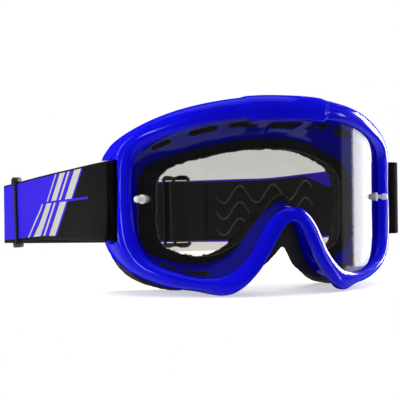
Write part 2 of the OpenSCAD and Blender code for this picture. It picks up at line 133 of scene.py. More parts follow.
# The print, in millimetres along the slanted strap from its end: the dark part, pale bars and dark lines.
DARK_END = 80
PALE_BARS = ((84, 101), (112, 117), (124, 138), (147, 150))
DARK_LINES = ((101, 102.6), (138, 139.4))
# How far the print leans to each millimetre of height, and the seam below which it steps back.
PRINT_LEAN = 1.42
PRINT_STEP = 11.0
SEAM_AT = 3.0
SEAM_HALF = 0.7
SEAM_FROM, SEAM_TO = 40, 190
SELVAGE = 1.9
# Each lamp's name, place, the way it faces, size, the studio value that it takes and the share of it.
LAMPS = (("box_right", (0.8, 0.465, 0.0), (-1, 0, 0), (1.07, 1.2), "side_box", 1.0),
         ("box_right_shown", (0.79, 0.462, 0.0), (-1, 0, 0), (1.07, 1.2), "side_box", 1.0),
         ("box_veil", (0.8, -0.17, 0.0), (-1, 0, 0), (0.2, 1.2), "side_box", 0.06),
         ("box_top", (0.0, 0.1, 1.3), (0, 0, -1), (1.4, 1.4), "top_box", 1.0),
         ("strip_left", (-0.75, 0.12, 0.1), (1, -0.1, -0.08), (0.08, 0.7), "left_strip", 1.0))
# The small lamps that only the frame's gloss shows: name, place, size and share. They face the goggles.
GLINTS = (("glint_top_right", (0.89, 0.28, 0.2), (0.34, 0.5), 2.0),
          ("glint_left", (-0.78, -0.5, 0.015), (0.06, 0.07), 4.0),
          ("glint_inner", (0.7, -0.32, 0.02), (0.06, 0.3), 1.0),
          ("glint_low_right", (0.5, 0.6, 0.35), (0.3, 0.3), 0.9))
FLOOR_X = (-0.24, 0.24)
FLOOR_Y = (-0.075, 0.42)
CAMERA_AT = (-0.2428, -0.5114, 0.0)
CAMERA_WAY = (0.3703, 0.9289, 0.0)
CAMERA_RIGHT = (0.9289, -0.3703, -0.0116)
CAMERA_LENS = 85.5


def mix(a, b, t):
    return a + (b - a) * t


def smooth(t):
    t = min(max(t, 0.0), 1.0)
    return t * t * (3 - 2 * t)


def spline(a, b, c, d, t):
    """A point of a curve that passes through the points b and c."""
    return 0.5 * (2 * b + (c - a) * t + (2 * a - 5 * b + 4 * c - d) * t * t
                  + (3 * b - a - 3 * c + d) * t ** 3)


def rail(half, sub):
    """The whole closed outline, sub stations to each of its points."""
    n = len(half)
    pts = [np.array((half[k][0], half[k][1]), float) if k < n
           else np.array((-half[2 * n - 2 - k][0], half[2 * n - 2 - k][1]), float)
           for k in range(2 * n - 2)]
    m = len(pts)
    return np.array([spline(pts[k - 1], pts[k], pts[(k + 1) % m], pts[(k + 2) % m], j / sub)
                     for k in range(m) for j in range(sub)])


def path(points, steps):
    """A smooth open line through the points, steps stations to each span."""
    p = np.array(points, float)
    n = len(p)
    out = [spline(p[max(k - 1, 0)], p[k], p[k + 1], p[min(k + 2, n - 1)], j / steps)
           for k in range(n - 1) for j in range(steps)]
    return np.array(out + [p[-1]])


def lens_y(x):
    return FRONT_Y + LENS_R - math.sqrt(LENS_R ** 2 - x * x)


def face_y(p):
    x = abs(p[0])
    pull = NOSE_PULL * (1 - smooth(x / 26)) * smooth((NOSE_TOP - p[1]) / 18)
    return FRONT_Y + BROW_DEPTH + FACE_WRAP * smooth(x / 85) - pull


def lift(p, y):
    return np.array((p[0], y, p[1]))


def nose_part(p, near, far):
    """How much a point belongs to the nose, fading out from one distance to another."""
    return 1 - smooth((abs(p[0]) - near) / (far - near)) if p[1] < NOSE_TOP else 0.0


class Outlines:
    """The five outlines sampled alike, and the sections of the frame along them."""

    def __init__(self, sub):
        self.sub = sub
        self.opening, self.outside, self.funnel, self.foam_in, self.foam_out, self.flange = (
            rail(half, sub) for half in (OPENING, OUTSIDE, FUNNEL, FOAM_IN, FOAM_OUT, FLANGE))
        self.count = len(self.opening)

    def band(self, i, share, back):
        p = mix(self.opening[i], self.outside[i], share)
        return lift(p, lens_y(self.opening[i][0]) + back)

    def tilt(self, i):
        x = self.opening[i][0]
        return x * x / LENS_R / math.sqrt(LENS_R ** 2 - x * x)

    def skirt(self, i):
        x, z = self.opening[i]
        ear = smooth((25 - z) / 5) * smooth((z + 32.5) / 5)
        deep = mix(10.0, 16.5 + 5.5 * ear, smooth((abs(x) - 60) / 20))
        return mix(deep, 1.5, nose_part((x, z), 22, 46))

    def neck_front(self, i):
        return self.band(i, 0.34, LENS_T + 3.2 + 2.6 * self.tilt(i))

    def neck_back(self, i):
        p = mix(self.funnel[i], self.flange[i], 0.19)
        return lift(p, face_y(p) - WALL)

    def outward(self, i):
        v = self.outside[i] - self.opening[i]
        return np.array((v[0], 0, v[1])) / np.linalg.norm(v)

    def neck(self, station, share, out):
        """A point of the web at a station that may lie between two of the sampled ones."""
        low = math.floor(station)
        a, b = low % self.count, (low + 1) % self.count
        both = [mix(self.neck_front(i), self.neck_back(i), share) + self.outward(i) * out for i in (a, b)]
        return mix(both[0], both[1], station - low)

    def frame_ring(self, i):
        t, k = self.tilt(i), self.skirt(i)
        flange, funnel = self.flange[i], self.funnel[i]
        crown = smooth((self.opening[i][1] - NOSE_TOP) / 12)
        lip = nose_part(self.opening[i], 30, 50)
        front = -BEZEL_PROUD - 1
        return [self.band(i, 0, -1.1 - 0.3 * t),
                self.band(i, 0.12, 1 - BEZEL_PROUD),
                self.band(i, 0.34, -BEZEL_PROUD - 0.5 * lip),
                self.band(i, 0.62, mix(1.3 - BEZEL_PROUD, front, lip)),
                self.band(i, 0.85, mix(1.2 - 1.2 * crown, front, lip)),
                self.band(i, 1, mix(min(7.5 - 3 * crown, k - 1), 0.2 - BEZEL_PROUD, lip)),
                self.band(i, 1, k),
                self.band(i, 0.8, k),
                self.band(i, 0.8, min(7.2, k - 1)),
                self.band(i, 0.42, 3.2),
                self.neck_front(i),
                self.neck_back(i),
                lift(flange, face_y(flange) - WALL),
                lift(flange, face_y(flange)),
                lift(funnel, face_y(funnel)),
                self.band(i, 0.02, LENS_T + 1.7 + t)]


# Meshes

def placed(name, data):
    """A new object in the scene."""
    obj = bpy.data.objects.new(name, data)
    bpy.context.scene.collection.objects.link(obj)
    return obj


def object_from(name, verts, faces, edges=()):
    """A new object in the scene from points in millimetres."""
    mesh = bpy.data.meshes.new(name)
    mesh.from_pydata([tuple(float(c) * 0.001 for c in v) for v in verts], edges, faces)
    mesh.update()
    return placed(name, mesh)


def ring_faces(rings, m, closed):
    """Faces between rings of m points each, with a cap at each end of an open row of rings."""
    faces = [(i * m + j, i * m + (j + 1) % m, (i + 1) % rings * m + (j + 1) % m, (i + 1) % rings * m + j)
             for i in range(rings if closed else rings - 1) for j in range(m)]
    if not closed:
        faces += [tuple(range(m - 1, -1, -1)), tuple((rings - 1) * m + j for j in range(m))]
    return faces


def swept(name, rings, closed):
    """A shape through rings of points."""
    return object_from(name, [v for r in rings for v in r], ring_faces(len(rings), len(rings[0]), closed))


def line_object(name, points):
    """An object of one line of edges, in millimetres."""
    return object_from(name, points, [], [(i, i + 1) for i in range(len(points) - 1)])


def outward_faces(obj):
    """Turns every face outwards."""
    bm = bmesh.new()
    bm.from_mesh(obj.data)
    bmesh.ops.recalc_face_normals(bm, faces=bm.faces)
    bm.to_mesh(obj.data)
    bm.free()


def all_smooth(obj):
    for p in obj.data.polygons:
        p.use_smooth = True


def smooth_faces(obj, angle):
    """Smooth shading that keeps edges sharper than the angle."""
    all_smooth(obj)
    obj.data.set_sharp_from_angle(angle=math.radians(angle))


def settle(obj):
    """Makes the object's modifiers part of its plain mesh."""
    graph = bpy.context.evaluated_depsgraph_get()
    mesh = bpy.data.meshes.new_from_object(obj.evaluated_get(graph), preserve_all_data_layers=True,
                                           depsgraph=graph)
    obj.modifiers.clear()
    old = obj.data
    obj.data = mesh
    bpy.data.meshes.remove(old)


def crease(obj, count, creases):
    """Creases the lines that run along a swept shape, by their place in its section."""
    layer = obj.data.attributes.new("crease_edge", "FLOAT", "EDGE")
    ends = [e.vertices for e in obj.data.edges]
    layer.data.foreach_set("value", [creases.get(a % count, 0.0) if a % count == b % count else 0.0
                                     for a, b in ends])


def subdivide(obj, levels):
    mod = obj.modifiers.new("Subdivision", "SUBSURF")
    mod.levels = mod.render_levels = levels
    settle(obj)


def drop(obj):
    mesh = obj.data
    bpy.data.objects.remove(obj)
    if mesh.users == 0:
        bpy.data.meshes.remove(mesh)


def carve(obj, cutters):
    """Cuts the cutters out of the object. The new faces take the cutters' materials."""
    for c in cutters:
        mod = obj.modifiers.new("Cut", "BOOLEAN")
        mod.operation = "DIFFERENCE"
        mod.solver = "EXACT"
        mod.material_mode = "TRANSFER"
        mod.object = c
    settle(obj)
    for c in cutters:
        drop(c)


def joined(name, objs):
    """One object from several plain ones."""
    bm = bmesh.new()
    for o in objs:
        bm.from_mesh(o.data)
    mesh = bpy.data.meshes.new(name)
    bm.to_mesh(mesh)
    bm.free()
    for o in objs:
        drop(o)
    return placed(name, mesh)


def cylinder_between(name, a, b, radius, sides=40):
    a, b = np.array(a, float), np.array(b, float)
    d = (b - a) / np.linalg.norm(b - a)
    u = np.cross(d, (0, 0, 1) if abs(d[2]) < 0.9 else (1, 0, 0))
    u /= np.linalg.norm(u)
    w = np.cross(d, u)
    rings = [[p + (u * math.cos(t) + w * math.sin(t)) * radius
              for t in (2 * math.pi * k / sides for k in range(sides))] for p in (a, b)]
    obj = swept(name, rings, False)
    outward_faces(obj)
    return obj


def block(name, low, high):
    x, y, z = zip(low, high)
    verts = [(x[i], y[j], z[k]) for i in (0, 1) for j in (0, 1) for k in (0, 1)]
    faces = [(0, 1, 3, 2), (4, 6, 7, 5), (0, 4, 5, 1), (2, 3, 7, 6), (0, 2, 6, 4), (1, 5, 7, 3)]
    obj = object_from(name, verts, faces)
    outward_faces(obj)
    return obj


def softened_copy(name, node, width, angle=30):
    """A copy of a CAD node with its edges rounded a little."""
    obj = placed(name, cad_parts[node].data.copy())
    bm = bmesh.new()
    bm.from_mesh(obj.data)
    bmesh.ops.remove_doubles(bm, verts=bm.verts, dist=1e-6)
    bmesh.ops.dissolve_limit(bm, angle_limit=math.radians(2), verts=bm.verts, edges=bm.edges)
    bm.to_mesh(obj.data)
    bm.free()
    obj.data.materials.clear()
    mod = obj.modifiers.new("Bevel", "BEVEL")
    mod.width = width * 0.001
    mod.segments = 2
    mod.limit_method = "ANGLE"
    mod.angle_limit = math.radians(angle)
    mod.use_clamp_overlap = True
    settle(obj)
    smooth_faces(obj, 40)
    return obj


def rough_up(obj, size, scale, seed):
    """Moves points along their normals, most where a cut side is marked. Sizes in millimetres."""
    mesh = obj.data
    normals = [v.normal.copy() for v in mesh.vertices]
    offset = Vector((seed * 13.7, seed * 5.1, seed * 9.3))
    cut = mesh.attributes.get("cut_side")
    for v, n in zip(mesh.vertices, normals):
        share = mix(0.35, 1.0, cut.data[v.index].value) if cut else 1.0
        v.co += n * (size * share * 0.001 * noise.noise(v.co * (1000 / scale) + offset))
    mesh.update()


def dress(obj, mat, body, slot, *nodes):
    """Gives a finished piece its material and body, and hides the nodes that it stands for. Its slot is not
    used.
    """
    if mat is not None:
        obj.data.materials.clear()
        obj.data.materials.append(mat)
    if body is not None:
        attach(obj, body)
    if nodes:
        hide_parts(*nodes)


# The strap

def ways(pts):
    """The way of a line at each of its points, from the point before to the point after."""
    d = np.empty_like(pts)
    d[1:-1] = pts[2:] - pts[:-2]
    d[0], d[-1] = pts[1] - pts[0], pts[-1] - pts[-2]
    return d


def across(pts):
    """Level direction at each point of a line, to the inside of the strap's loop."""
    d = ways(pts)
    n = np.stack([d[:, 1], -d[:, 0], np.zeros(len(d))], 1)
    return n / np.linalg.norm(n, axis=1)[:, None]


def rise(pts):
    """The way of the webbing's width at each point: square to the line and as upright as that allows."""
    d = ways(pts)
    u = d / np.linalg.norm(d, axis=1)[:, None]
    r = np.stack([-u[:, 0] * u[:, 2], -u[:, 1] * u[:, 2], 1 - u[:, 2] ** 2], 1)
    return r / np.linalg.norm(r, axis=1)[:, None]


def distances(line):
    """How far along the line each of its points lies."""
    return np.concatenate([[0], np.cumsum(np.linalg.norm(np.diff(line, axis=0), axis=1))])


BAR_X = float(rail(OUTSIDE, 4)[:, 0].max()) - 2
BAR_Y = lens_y(80.5) + 5.8
REACH = BAR_X / 90
LOOP_R = BAR_R + STRAP_GAP + STRAP_T / 2
SLACK_R = LOOP_R + LOOP_SLACK
LAYER = STRAP_T + STRAP_GAP
HAIRPIN_R = SLIDER_BAR / 2 + STRAP_GAP + STRAP_T / 2
HAIRPIN_MID = LAYER + HAIRPIN_R
TAB_REST = LAYER + STRAP_T + 0.15
LEFT_RUN = REACH * np.array([(-97.1, 153, -4.1), (-108.4, 236, -9.5)])
REAR_RUN = REACH * np.array([(-96.6, 242, -10.2), (52, 95.4, -7.4)])
LEFT_LEAD = REACH * np.array([(-95.2, 28, -0.7), (-95.4, 60, -1.5), (-95.6, 92, -2.3), (-96.1, 124, -3.1)])
RIGHT_LEAD = REACH * np.array([(68, 75.5, -5.4), (81, 52, -3.2), (90.5, 30, -1.2), (95.6, 17.5, -0.3)])
FOLD_R = 7.0 * REACH
FOLD_START = math.radians(188.2)
FOLD_TURN = math.radians(142)
LEFT_WAY = (LEFT_RUN[0] - LEFT_RUN[1]) / np.linalg.norm(LEFT_RUN[0] - LEFT_RUN[1])
RIGHT_WAY = (REAR_RUN[1] - REAR_RUN[0]) / np.linalg.norm(REAR_RUN[1] - REAR_RUN[0])
LEFT_SEAT = mix(LEFT_RUN[0], LEFT_RUN[1], 0.735)
RIGHT_SEAT = mix(REAR_RUN[0], REAR_RUN[1], 0.655)
SEAT = {-1: LEFT_SEAT, 1: RIGHT_SEAT}
WAY = {-1: LEFT_WAY, 1: RIGHT_WAY}


def band_points():
    pts = [(-BAR_X + LOOP_R * math.cos(a), BAR_Y - LOOP_R * math.sin(a), 0)
           for a in (math.radians(45 * k) for k in range(5))]
    pts += [tuple(p) for p in LEFT_LEAD]
    pts += [tuple(mix(LEFT_RUN[0], LEFT_RUN[1], k / 6)) for k in range(7)]
    mid = LEFT_RUN[1] - FOLD_R * np.array((math.cos(FOLD_START), math.sin(FOLD_START), 0))
    for k in (1, 2, 3):
        a = FOLD_START - FOLD_TURN * k / 4
        pts.append((mid[0] + FOLD_R * math.cos(a), mid[1] + FOLD_R * math.sin(a),
                    mix(LEFT_RUN[1][2], REAR_RUN[0][2], k / 4)))
    pts += [tuple(mix(REAR_RUN[0], REAR_RUN[1], k / 8)) for k in range(9)]
    pts += [tuple(p) for p in RIGHT_LEAD]
    pts += [(BAR_X + LOOP_SLACK + SLACK_R * math.cos(a), BAR_Y - SLACK_R * math.sin(a), 0)
            for a in (math.radians(36 * k) for k in range(6))]
    return pts


def return_line(side, steps):
    """The inner layer's middle line, from the bar to its slider, closing up on the band behind the bar."""
    line = path(band_points(), steps)[::-side]
    inward = across(line) * -side
    first = (4 if side < 0 else 5) * steps
    wide, close = (2 * LOOP_R, 46) if side < 0 else (2 * SLACK_R, 28)
    out = [np.array((side * (BAR_X - LOOP_R), BAR_Y + STRAP_GAP, 0))]
    for k in range(first, len(line) // 2):
        if (line[k] - SEAT[side]) @ WAY[side] <= 3:
            break
        q = line[k] + inward[k] * mix(wide, LAYER, smooth((line[k][1] - BAR_Y - 2) / close))
        if q[1] > BAR_Y + 3:
            out.append(q)
    out.append(SEAT[side] + WAY[side] * STRAP_GAP + inward[k] * LAYER)
    return np.array(out)


def slider_frame(side):
    """Origin, along, inside and up of a slider's own directions."""
    along = WAY[side]
    level = np.array((along[0], along[1], 0)) / math.hypot(along[0], along[1])
    inside = np.array((-level[1], level[0], 0)) * (-side)
    return SEAT[side], along, inside, np.cross(along, inside) * (-side)


def in_slider(side, points):
    o, along, inside, up = slider_frame(side)
    return np.array([o + along * p[0] + inside * p[1] + up * p[2] for p in points])


def tab_line(steps):
    """The tab's middle line in its slider's directions: a hairpin round the bar, closing up on the strap."""
    top = HAIRPIN_MID + HAIRPIN_R
    pts = [(-HAIRPIN_R * math.sin(a), HAIRPIN_MID - HAIRPIN_R * math.cos(a), 0)
           for a in (math.radians(36 * k) for k in range(6))]
    pts += [(TAB_LEN / 6, mix(top, TAB_REST, 0.25), 0), (TAB_LEN / 3, mix(top, TAB_REST, 0.8), 0)]
    pts += [(TAB_LEN * share, TAB_REST, 0) for share in (0.48, 0.7, 1)]
    return path(pts, steps)


def ribbon(name, line, width, normals=None, ups=None):
    """Webbing along a line, with rounded edges and a map of its length and breadth in decimetres."""
    rows = 12
    n = across(line) if normals is None else normals
    up = rise(line) if ups is None else ups
    h, r = width / 2, STRAP_T / 2
    corner = [math.pi * k / 4 for k in (1, 2, 3)]
    section = [(-r, mix(-h + r, h - r, k / rows)) for k in range(rows + 1)]
    section += [(r * -math.cos(a), h - r + r * math.sin(a)) for a in corner]
    section += [(r, mix(h - r, -h + r, k / rows)) for k in range(rows + 1)]
    section += [(r * math.cos(a), -h + r - r * math.sin(a)) for a in corner]
    m = len(section)
    obj = swept(name, [[line[i] + n[i] * a + up[i] * b for a, b in section] for i in range(len(line))], False)
    along = distances(line)
    uv = obj.data.uv_layers.new(name="Length")
    for loop in obj.data.loops:
        i, j = divmod(loop.vertex_index, m)
        uv.data[loop.index].uv = (along[i] * 0.01, section[j][1] * 0.01)
    outward_faces(obj)
    for p in obj.data.polygons:
        p.use_smooth = len(p.vertices) == 4
    return obj, m


# Node trees

def new_material(name, base, rough):
    mat = bpy.data.materials.new(name)
    mat.use_nodes = True
    mat.diffuse_color = (*base, 1)
    bsdf = mat.node_tree.nodes["Principled BSDF"]
    set_sockets(bsdf, Base_Color=(*base, 1), Roughness=rough)
    return mat, mat.node_tree, bsdf


def set_sockets(bsdf, **values):
    """Sets values on the shader's own sockets, named with low lines for spaces."""
    for k, v in values.items():
        bsdf.inputs[k.replace("_", " ")].default_value = v


def join_to(tree, bsdf, **sockets):
    for k, v in sockets.items():
        tree.links.new(v, bsdf.inputs[k.replace("_", " ")])


def feed(tree, socket, value):
    """Links a socket to another one, or sets it to a plain value."""
    if isinstance(value, bpy.types.NodeSocket):
        tree.links.new(value, socket)
    else:
        socket.default_value = value


def add(tree, kind, inputs=None, **settings):
    n = tree.nodes.new(kind)
    for k, v in settings.items():
        setattr(n, k, v)
    for k, v in (inputs or {}).items():
        feed(tree, n.inputs[k], v)
    return n


def maths(tree, operation, *values):
    return add(tree, "ShaderNodeMath", dict(enumerate(values)), operation=operation).outputs[0]


def ranged(tree, value, low, high, to_low=0.0, to_high=1.0):
    """A value spread from one range to another."""
    return add(tree, "ShaderNodeMapRange", {"Value": value, "From Min": low, "From Max": high,
                                            "To Min": to_low, "To Max": to_high}).outputs[0]


def ramp(tree, factor, stops):
    n = add(tree, "ShaderNodeValToRGB", {0: factor})
    for element, (position, colour) in zip(n.color_ramp.elements, stops):
        element.position = position
        element.color = (*colour, 1)
    return n.outputs[0]


def blend_colours(tree, factor, a, b, kind="MIX"):
    a, b = (v if isinstance(v, bpy.types.NodeSocket) else (*v, 1) for v in (a, b))
    return add(tree, "ShaderNodeMix", {0: factor, 6: a, 7: b}, data_type="RGBA", blend_type=kind).outputs[2]


def toned(colour, times, plus=0.0):
    """The colour made darker or lighter."""
    return tuple(min(c * times + plus, 1) for c in colour)


def object_coords(tree):
    return tree.nodes.new("ShaderNodeTexCoord").outputs["Object"]


def part_of(tree, vector, k):
    return add(tree, "ShaderNodeSeparateXYZ", {"Vector": vector}).outputs[k]


def bump(tree, height, distance, strength=1.0, base=None):
    n = add(tree, "ShaderNodeBump", {"Height": height, "Distance": distance, "Strength": strength})
    if base is not None:
        tree.links.new(base, n.inputs["Normal"])
    return n.outputs[0]


def noise_value(tree, coords, scale, detail=3.0, rough=0.5):
    return add(tree, "ShaderNodeTexNoise", {"Vector": coords, "Scale": scale, "Detail": detail,
                                            "Roughness": rough}).outputs["Fac"]


def mapped(tree, vector, **settings):
    return add(tree, "ShaderNodeMapping", {"Vector": vector, **settings}).outputs[0]


def glossy_shell(colour):
    """Glossy moulded plastic with faint mould texture and fine rubs, its gloss fading at a slant."""
    mat, tree, bsdf = new_material("moulded_blue", colour, 0.16)
    at = object_coords(tree)
    tints = [(0.3, toned(colour, 0.86)), (0.7, toned(colour, 1.06, 0.002))]
    tint = ramp(tree, noise_value(tree, at, 26, 4), tints)
    rubs = noise_value(tree, mapped(tree, at, Scale=(1, 1, 9), Rotation=(0.4, 0.3, 0)), 210, 6, 0.7)
    slant = add(tree, "ShaderNodeLayerWeight", {"Blend": 0.5}).outputs["Facing"]
    fine = bump(tree, noise_value(tree, at, 900, 2), 0.00004, 0.35)
    join_to(tree, bsdf, Base_Color=tint, Roughness=ranged(tree, rubs, 0.35, 0.75, 0.08, 0.17),
            Specular_IOR_Level=ranged(tree, slant, 0.5, 0.75, 0.17, 0.0),
            Normal=bump(tree, noise_value(tree, at, 38, 2), 0.0006, 0.25, fine))
    set_sockets(bsdf, IOR=1.33, Subsurface_Weight=0.06, Subsurface_Radius=(0.2, 0.2, 1.0),
                Subsurface_Scale=0.003)
    return mat


def clear_sheet(foot, top):
    """Clear polycarbonate with a faint tint, deeper at the top, and a few rubs, shining at a slant."""
    mat, tree, bsdf = new_material("clear_sheet", foot, 0.04)
    tree.nodes.remove(bsdf)
    at = object_coords(tree)
    rubs = noise_value(tree, mapped(tree, at, Scale=(1, 1, 14), Rotation=(0.2, 0.7, 0.1)), 160, 8, 0.75)
    clean = ramp(tree, ranged(tree, part_of(tree, at, 2), -0.045, 0.045), [(0.0, foot), (1.0, top)])
    dust = ramp(tree, noise_value(tree, at, 70, 5), [(0.35, (1.0, 1.0, 1.0)), (0.75, (0.965, 0.965, 0.965))])
    tint = blend_colours(tree, 1.0, clean, dust, "MULTIPLY")
    through = add(tree, "ShaderNodeBsdfTransparent", {"Color": tint})
    shine = add(tree, "ShaderNodeBsdfGlossy", {"Color": (1, 1, 1, 1),
                                               "Roughness": ranged(tree, rubs, 0.45, 0.8, 0.015, 0.12)})
    inward = tree.nodes.new("ShaderNodeNewGeometry").outputs["Backfacing"]
    index = maths(tree, "MULTIPLY_ADD", inward, 1 / LENS_INDEX - LENS_INDEX, LENS_INDEX)
    slant = add(tree, "ShaderNodeFresnel", {"IOR": index})
    both = add(tree, "ShaderNodeMixShader", {0: slant.outputs[0], 1: through.outputs[0], 2: shine.outputs[0]})
    tree.links.new(both.outputs[0], tree.nodes["Material Output"].inputs["Surface"])
    return mat


def painted_rim_highlight(tree, at, tone, rim_highlight_colour):
    """A ragged painted highlight: a pale line along a cut edge, where the piece's rim attribute says."""
    rim = add(tree, "ShaderNodeAttribute", attribute_name="rim", attribute_type="GEOMETRY").outputs["Fac"]
    ragged = maths(tree, "ADD", rim, maths(tree, "MULTIPLY_ADD", noise_value(tree, at, 300, 4), 0.5, -0.25))
    return blend_colours(tree, ranged(tree, ragged, 0.6, 0.8, 0.0, 0.9), tone, rim_highlight_colour)


def cut_foam(name, colour, cell, rim_highlight_colour=None):
    """Foam: cells of the given size in millimetres, with painted shade darkening their hollows."""
    mat, tree, bsdf = new_material(name, colour, 0.95)
    at = object_coords(tree)
    cells = add(tree, "ShaderNodeTexVoronoi", {"Vector": at, "Scale": 1000 / cell}).outputs["Distance"]
    hollow = ranged(tree, cells, 0.1, 0.6)
    # Painted shade and light: the cells' hollows darker, their ridges lighter.
    tone = ramp(tree, hollow, [(0.0, toned(colour, 0.35)), (1.0, toned(colour, 1.35))])
    worn = ranged(tree, noise_value(tree, at, 60, 4), 0.45, 0.8, 0.0, 0.4)
    tone = blend_colours(tree, worn, tone, toned(colour, 2.0, 0.004))
    # The pale line along the cut edge is a painted highlight.
    if rim_highlight_colour:
        tone = painted_rim_highlight(tree, at, tone, rim_highlight_colour)
    hollows = bump(tree, hollow, 0.00025 * cell, 0.9)
    join_to(tree, bsdf, Base_Color=tone,
            Normal=bump(tree, noise_value(tree, at, 2600 / cell, 3), 0.0001, 0.5, hollows))
    set_sockets(bsdf, Specular_IOR_Level=0.15, Sheen_Weight=0.05, Sheen_Roughness=0.6)
    return mat


def brushed_fleece(colour, rim_highlight_colour):
    """Brushed fleece, with a painted highlight as a pale line along its cut edge, where the piece's rim
    attribute says.
    """
    mat, tree, bsdf = new_material("brushed_fleece", colour, 0.97)
    at = object_coords(tree)
    tufts = noise_value(tree, at, 420, 6, 0.65)
    # Painted shade and light: low parts between the tufts darker, their tops lighter.
    tone = ramp(tree, tufts, [(0.3, toned(colour, 0.45)), (0.72, toned(colour, 1.9))])
    drift = maths(tree, "MULTIPLY", noise_value(tree, at, 48, 3), 0.35)
    tone = blend_colours(tree, drift, tone, toned(colour, 1.5))
    join_to(tree, bsdf, Base_Color=painted_rim_highlight(tree, at, tone, rim_highlight_colour),
            Normal=bump(tree, tufts, 0.0005, 0.9))
    set_sockets(bsdf, Specular_IOR_Level=0.1, Sheen_Weight=0.1, Sheen_Roughness=0.45)
    return mat


def strap_place(tree):
    """The piece's own map, and from it the millimetres along and over the strap."""
    uv = tree.nodes.new("ShaderNodeUVMap").outputs[0]
    along, over = (maths(tree, "MULTIPLY", part_of(tree, uv, k), 100) for k in (0, 1))
    return uv, along, over


def weave_height(tree, along, over):
    """Height of a woven elastic: ribs along the strap crossed by fine picks."""
    rib = maths(tree, "SINE", maths(tree, "MULTIPLY", over, 2 * math.pi / RIB_PITCH))
    row = maths(tree, "FLOOR", maths(tree, "DIVIDE", over, RIB_PITCH))
    shift = maths(tree, "MULTIPLY", row, math.pi)
    turn = maths(tree, "MULTIPLY", along, 2 * math.pi / PICK_PITCH)
    pick = maths(tree, "SINE", maths(tree, "ADD", turn, shift))
    ribs = maths(tree, "MULTIPLY", maths(tree, "ABSOLUTE", rib), 0.6)
    return maths(tree, "ADD", ribs, maths(tree, "MULTIPLY", pick, 0.4))


def plain_webbing(colour):
    """Woven elastic in one colour, with ribs, picks, a little lint, and painted shade in the weave's grooves
    and painted light on its ribs.
    """
    mat, tree, bsdf = new_material("woven_elastic", colour, 0.85)
    height = weave_height(tree, *strap_place(tree)[1:])
    lint = ranged(tree, noise_value(tree, object_coords(tree), 240, 5, 0.7), 0.55, 0.85, 0.0, 0.35)
    # Painted shade and light: the weave's grooves darker, its ribs lighter.
    tone = blend_colours(tree, ranged(tree, height, -0.4, 1.0), toned(colour, 0.5), toned(colour, 1.7, 0.003))
    join_to(tree, bsdf, Base_Color=blend_colours(tree, lint, tone, (0.045, 0.043, 0.04)),
            Normal=bump(tree, height, 0.00022, 0.8))
    set_sockets(bsdf, Specular_IOR_Level=0.2, Sheen_Weight=0.2, Sheen_Roughness=0.5)
    return mat


def printed_webbing(field, pale, dark, length):
    """Elastic printed with slanted bars: dark by the frame, then pale and blue bars, then a plain field."""
    mat, tree, bsdf = new_material("printed_elastic", field, 0.75)
    uv, along, over = strap_place(tree)
    height = weave_height(tree, along, over)
    fuzz = noise_value(tree, mapped(tree, uv, Scale=(90, 240, 1)), 1.0, 3)
    jitter = maths(tree, "MULTIPLY", maths(tree, "SUBTRACT", fuzz, 0.5), 0.7)
    end = maths(tree, "MINIMUM", along, maths(tree, "SUBTRACT", length, along))
    end = maths(tree, "ADD", end, jitter)
    lower = maths(tree, "LESS_THAN", over, SEAM_AT)
    lean = maths(tree, "ADD", end, maths(tree, "MULTIPLY", over, PRINT_LEAN))
    stepped = maths(tree, "ADD", lean, maths(tree, "MULTIPLY", lower, -PRINT_STEP))

    def between(value, low, high):
        return maths(tree, "COMPARE", value, (low + high) / 2, (high - low) / 2)

    colour = blend_colours(tree, maths(tree, "LESS_THAN", stepped, DARK_END), field, dark)
    for ink, bars in ((pale, PALE_BARS), (dark, DARK_LINES)):
        for low, high in bars:
            colour = blend_colours(tree, between(stepped, low, high), colour, ink)
    seam = maths(tree, "MULTIPLY", between(over, SEAM_AT - SEAM_HALF, SEAM_AT + SEAM_HALF),
                 between(end, SEAM_FROM, SEAM_TO))
    colour = blend_colours(tree, seam, colour, field)
    off_middle = maths(tree, "ABSOLUTE", maths(tree, "ADD", over, -0.6))
    edge = maths(tree, "GREATER_THAN", off_middle, STRAP_W / 2 - SELVAGE)
    colour = blend_colours(tree, edge, colour, dark)
    # Painted shade and light: the weave's grooves darken the print, its ribs lighten it a little.
    colour = blend_colours(tree, 1.0, colour, ranged(tree, height, -0.4, 1.0, 0.72, 1.08), "MULTIPLY")
    join_to(tree, bsdf, Base_Color=colour, Normal=bump(tree, height, 0.0002, 0.7))
    set_sockets(bsdf, Specular_IOR_Level=0.1)
    return mat


def lined_webbing(dark, edge_colour, wedge):
    """The inner faces: dark elastic, with the print's colour along both edges and over a corner."""
    mat = plain_webbing(dark)
    mat.name = "elastic_lining"
    tree = mat.node_tree
    bsdf = tree.nodes["Principled BSDF"]
    along, over = strap_place(tree)[1:]
    edge = maths(tree, "GREATER_THAN", maths(tree, "ABSOLUTE", over), STRAP_W / 2 - 1.5)
    right_half = maths(tree, "GREATER_THAN", part_of(tree, object_coords(tree), 0), -0.03)
    edge = maths(tree, "MULTIPLY", edge, right_half)
    if wedge > 0:
        corner = maths(tree, "MULTIPLY_ADD", along, 0.5, STRAP_W / 2 - wedge * 0.5)
        edge = maths(tree, "MAXIMUM", edge, maths(tree, "GREATER_THAN", over, corner))
    inner = bsdf.inputs["Base Color"].links[0].from_socket
    join_to(tree, bsdf, Base_Color=blend_colours(tree, edge, inner, edge_colour))
    return mat


def silicone(colour):
    mat, tree, bsdf = new_material("silicone_line", colour, 0.3)
    at = object_coords(tree)
    specks = noise_value(tree, at, 700, 4)
    tone = ramp(tree, noise_value(tree, at, 90, 3), [(0.3, toned(colour, 0.7)), (0.8, toned(colour, 1.5))])
    join_to(tree, bsdf, Base_Color=tone, Roughness=ranged(tree, specks, 0.3, 0.8, 0.2, 0.5),
            Normal=bump(tree, specks, 0.0001, 0.5))
    set_sockets(bsdf, Coat_Weight=0.3)
    return mat


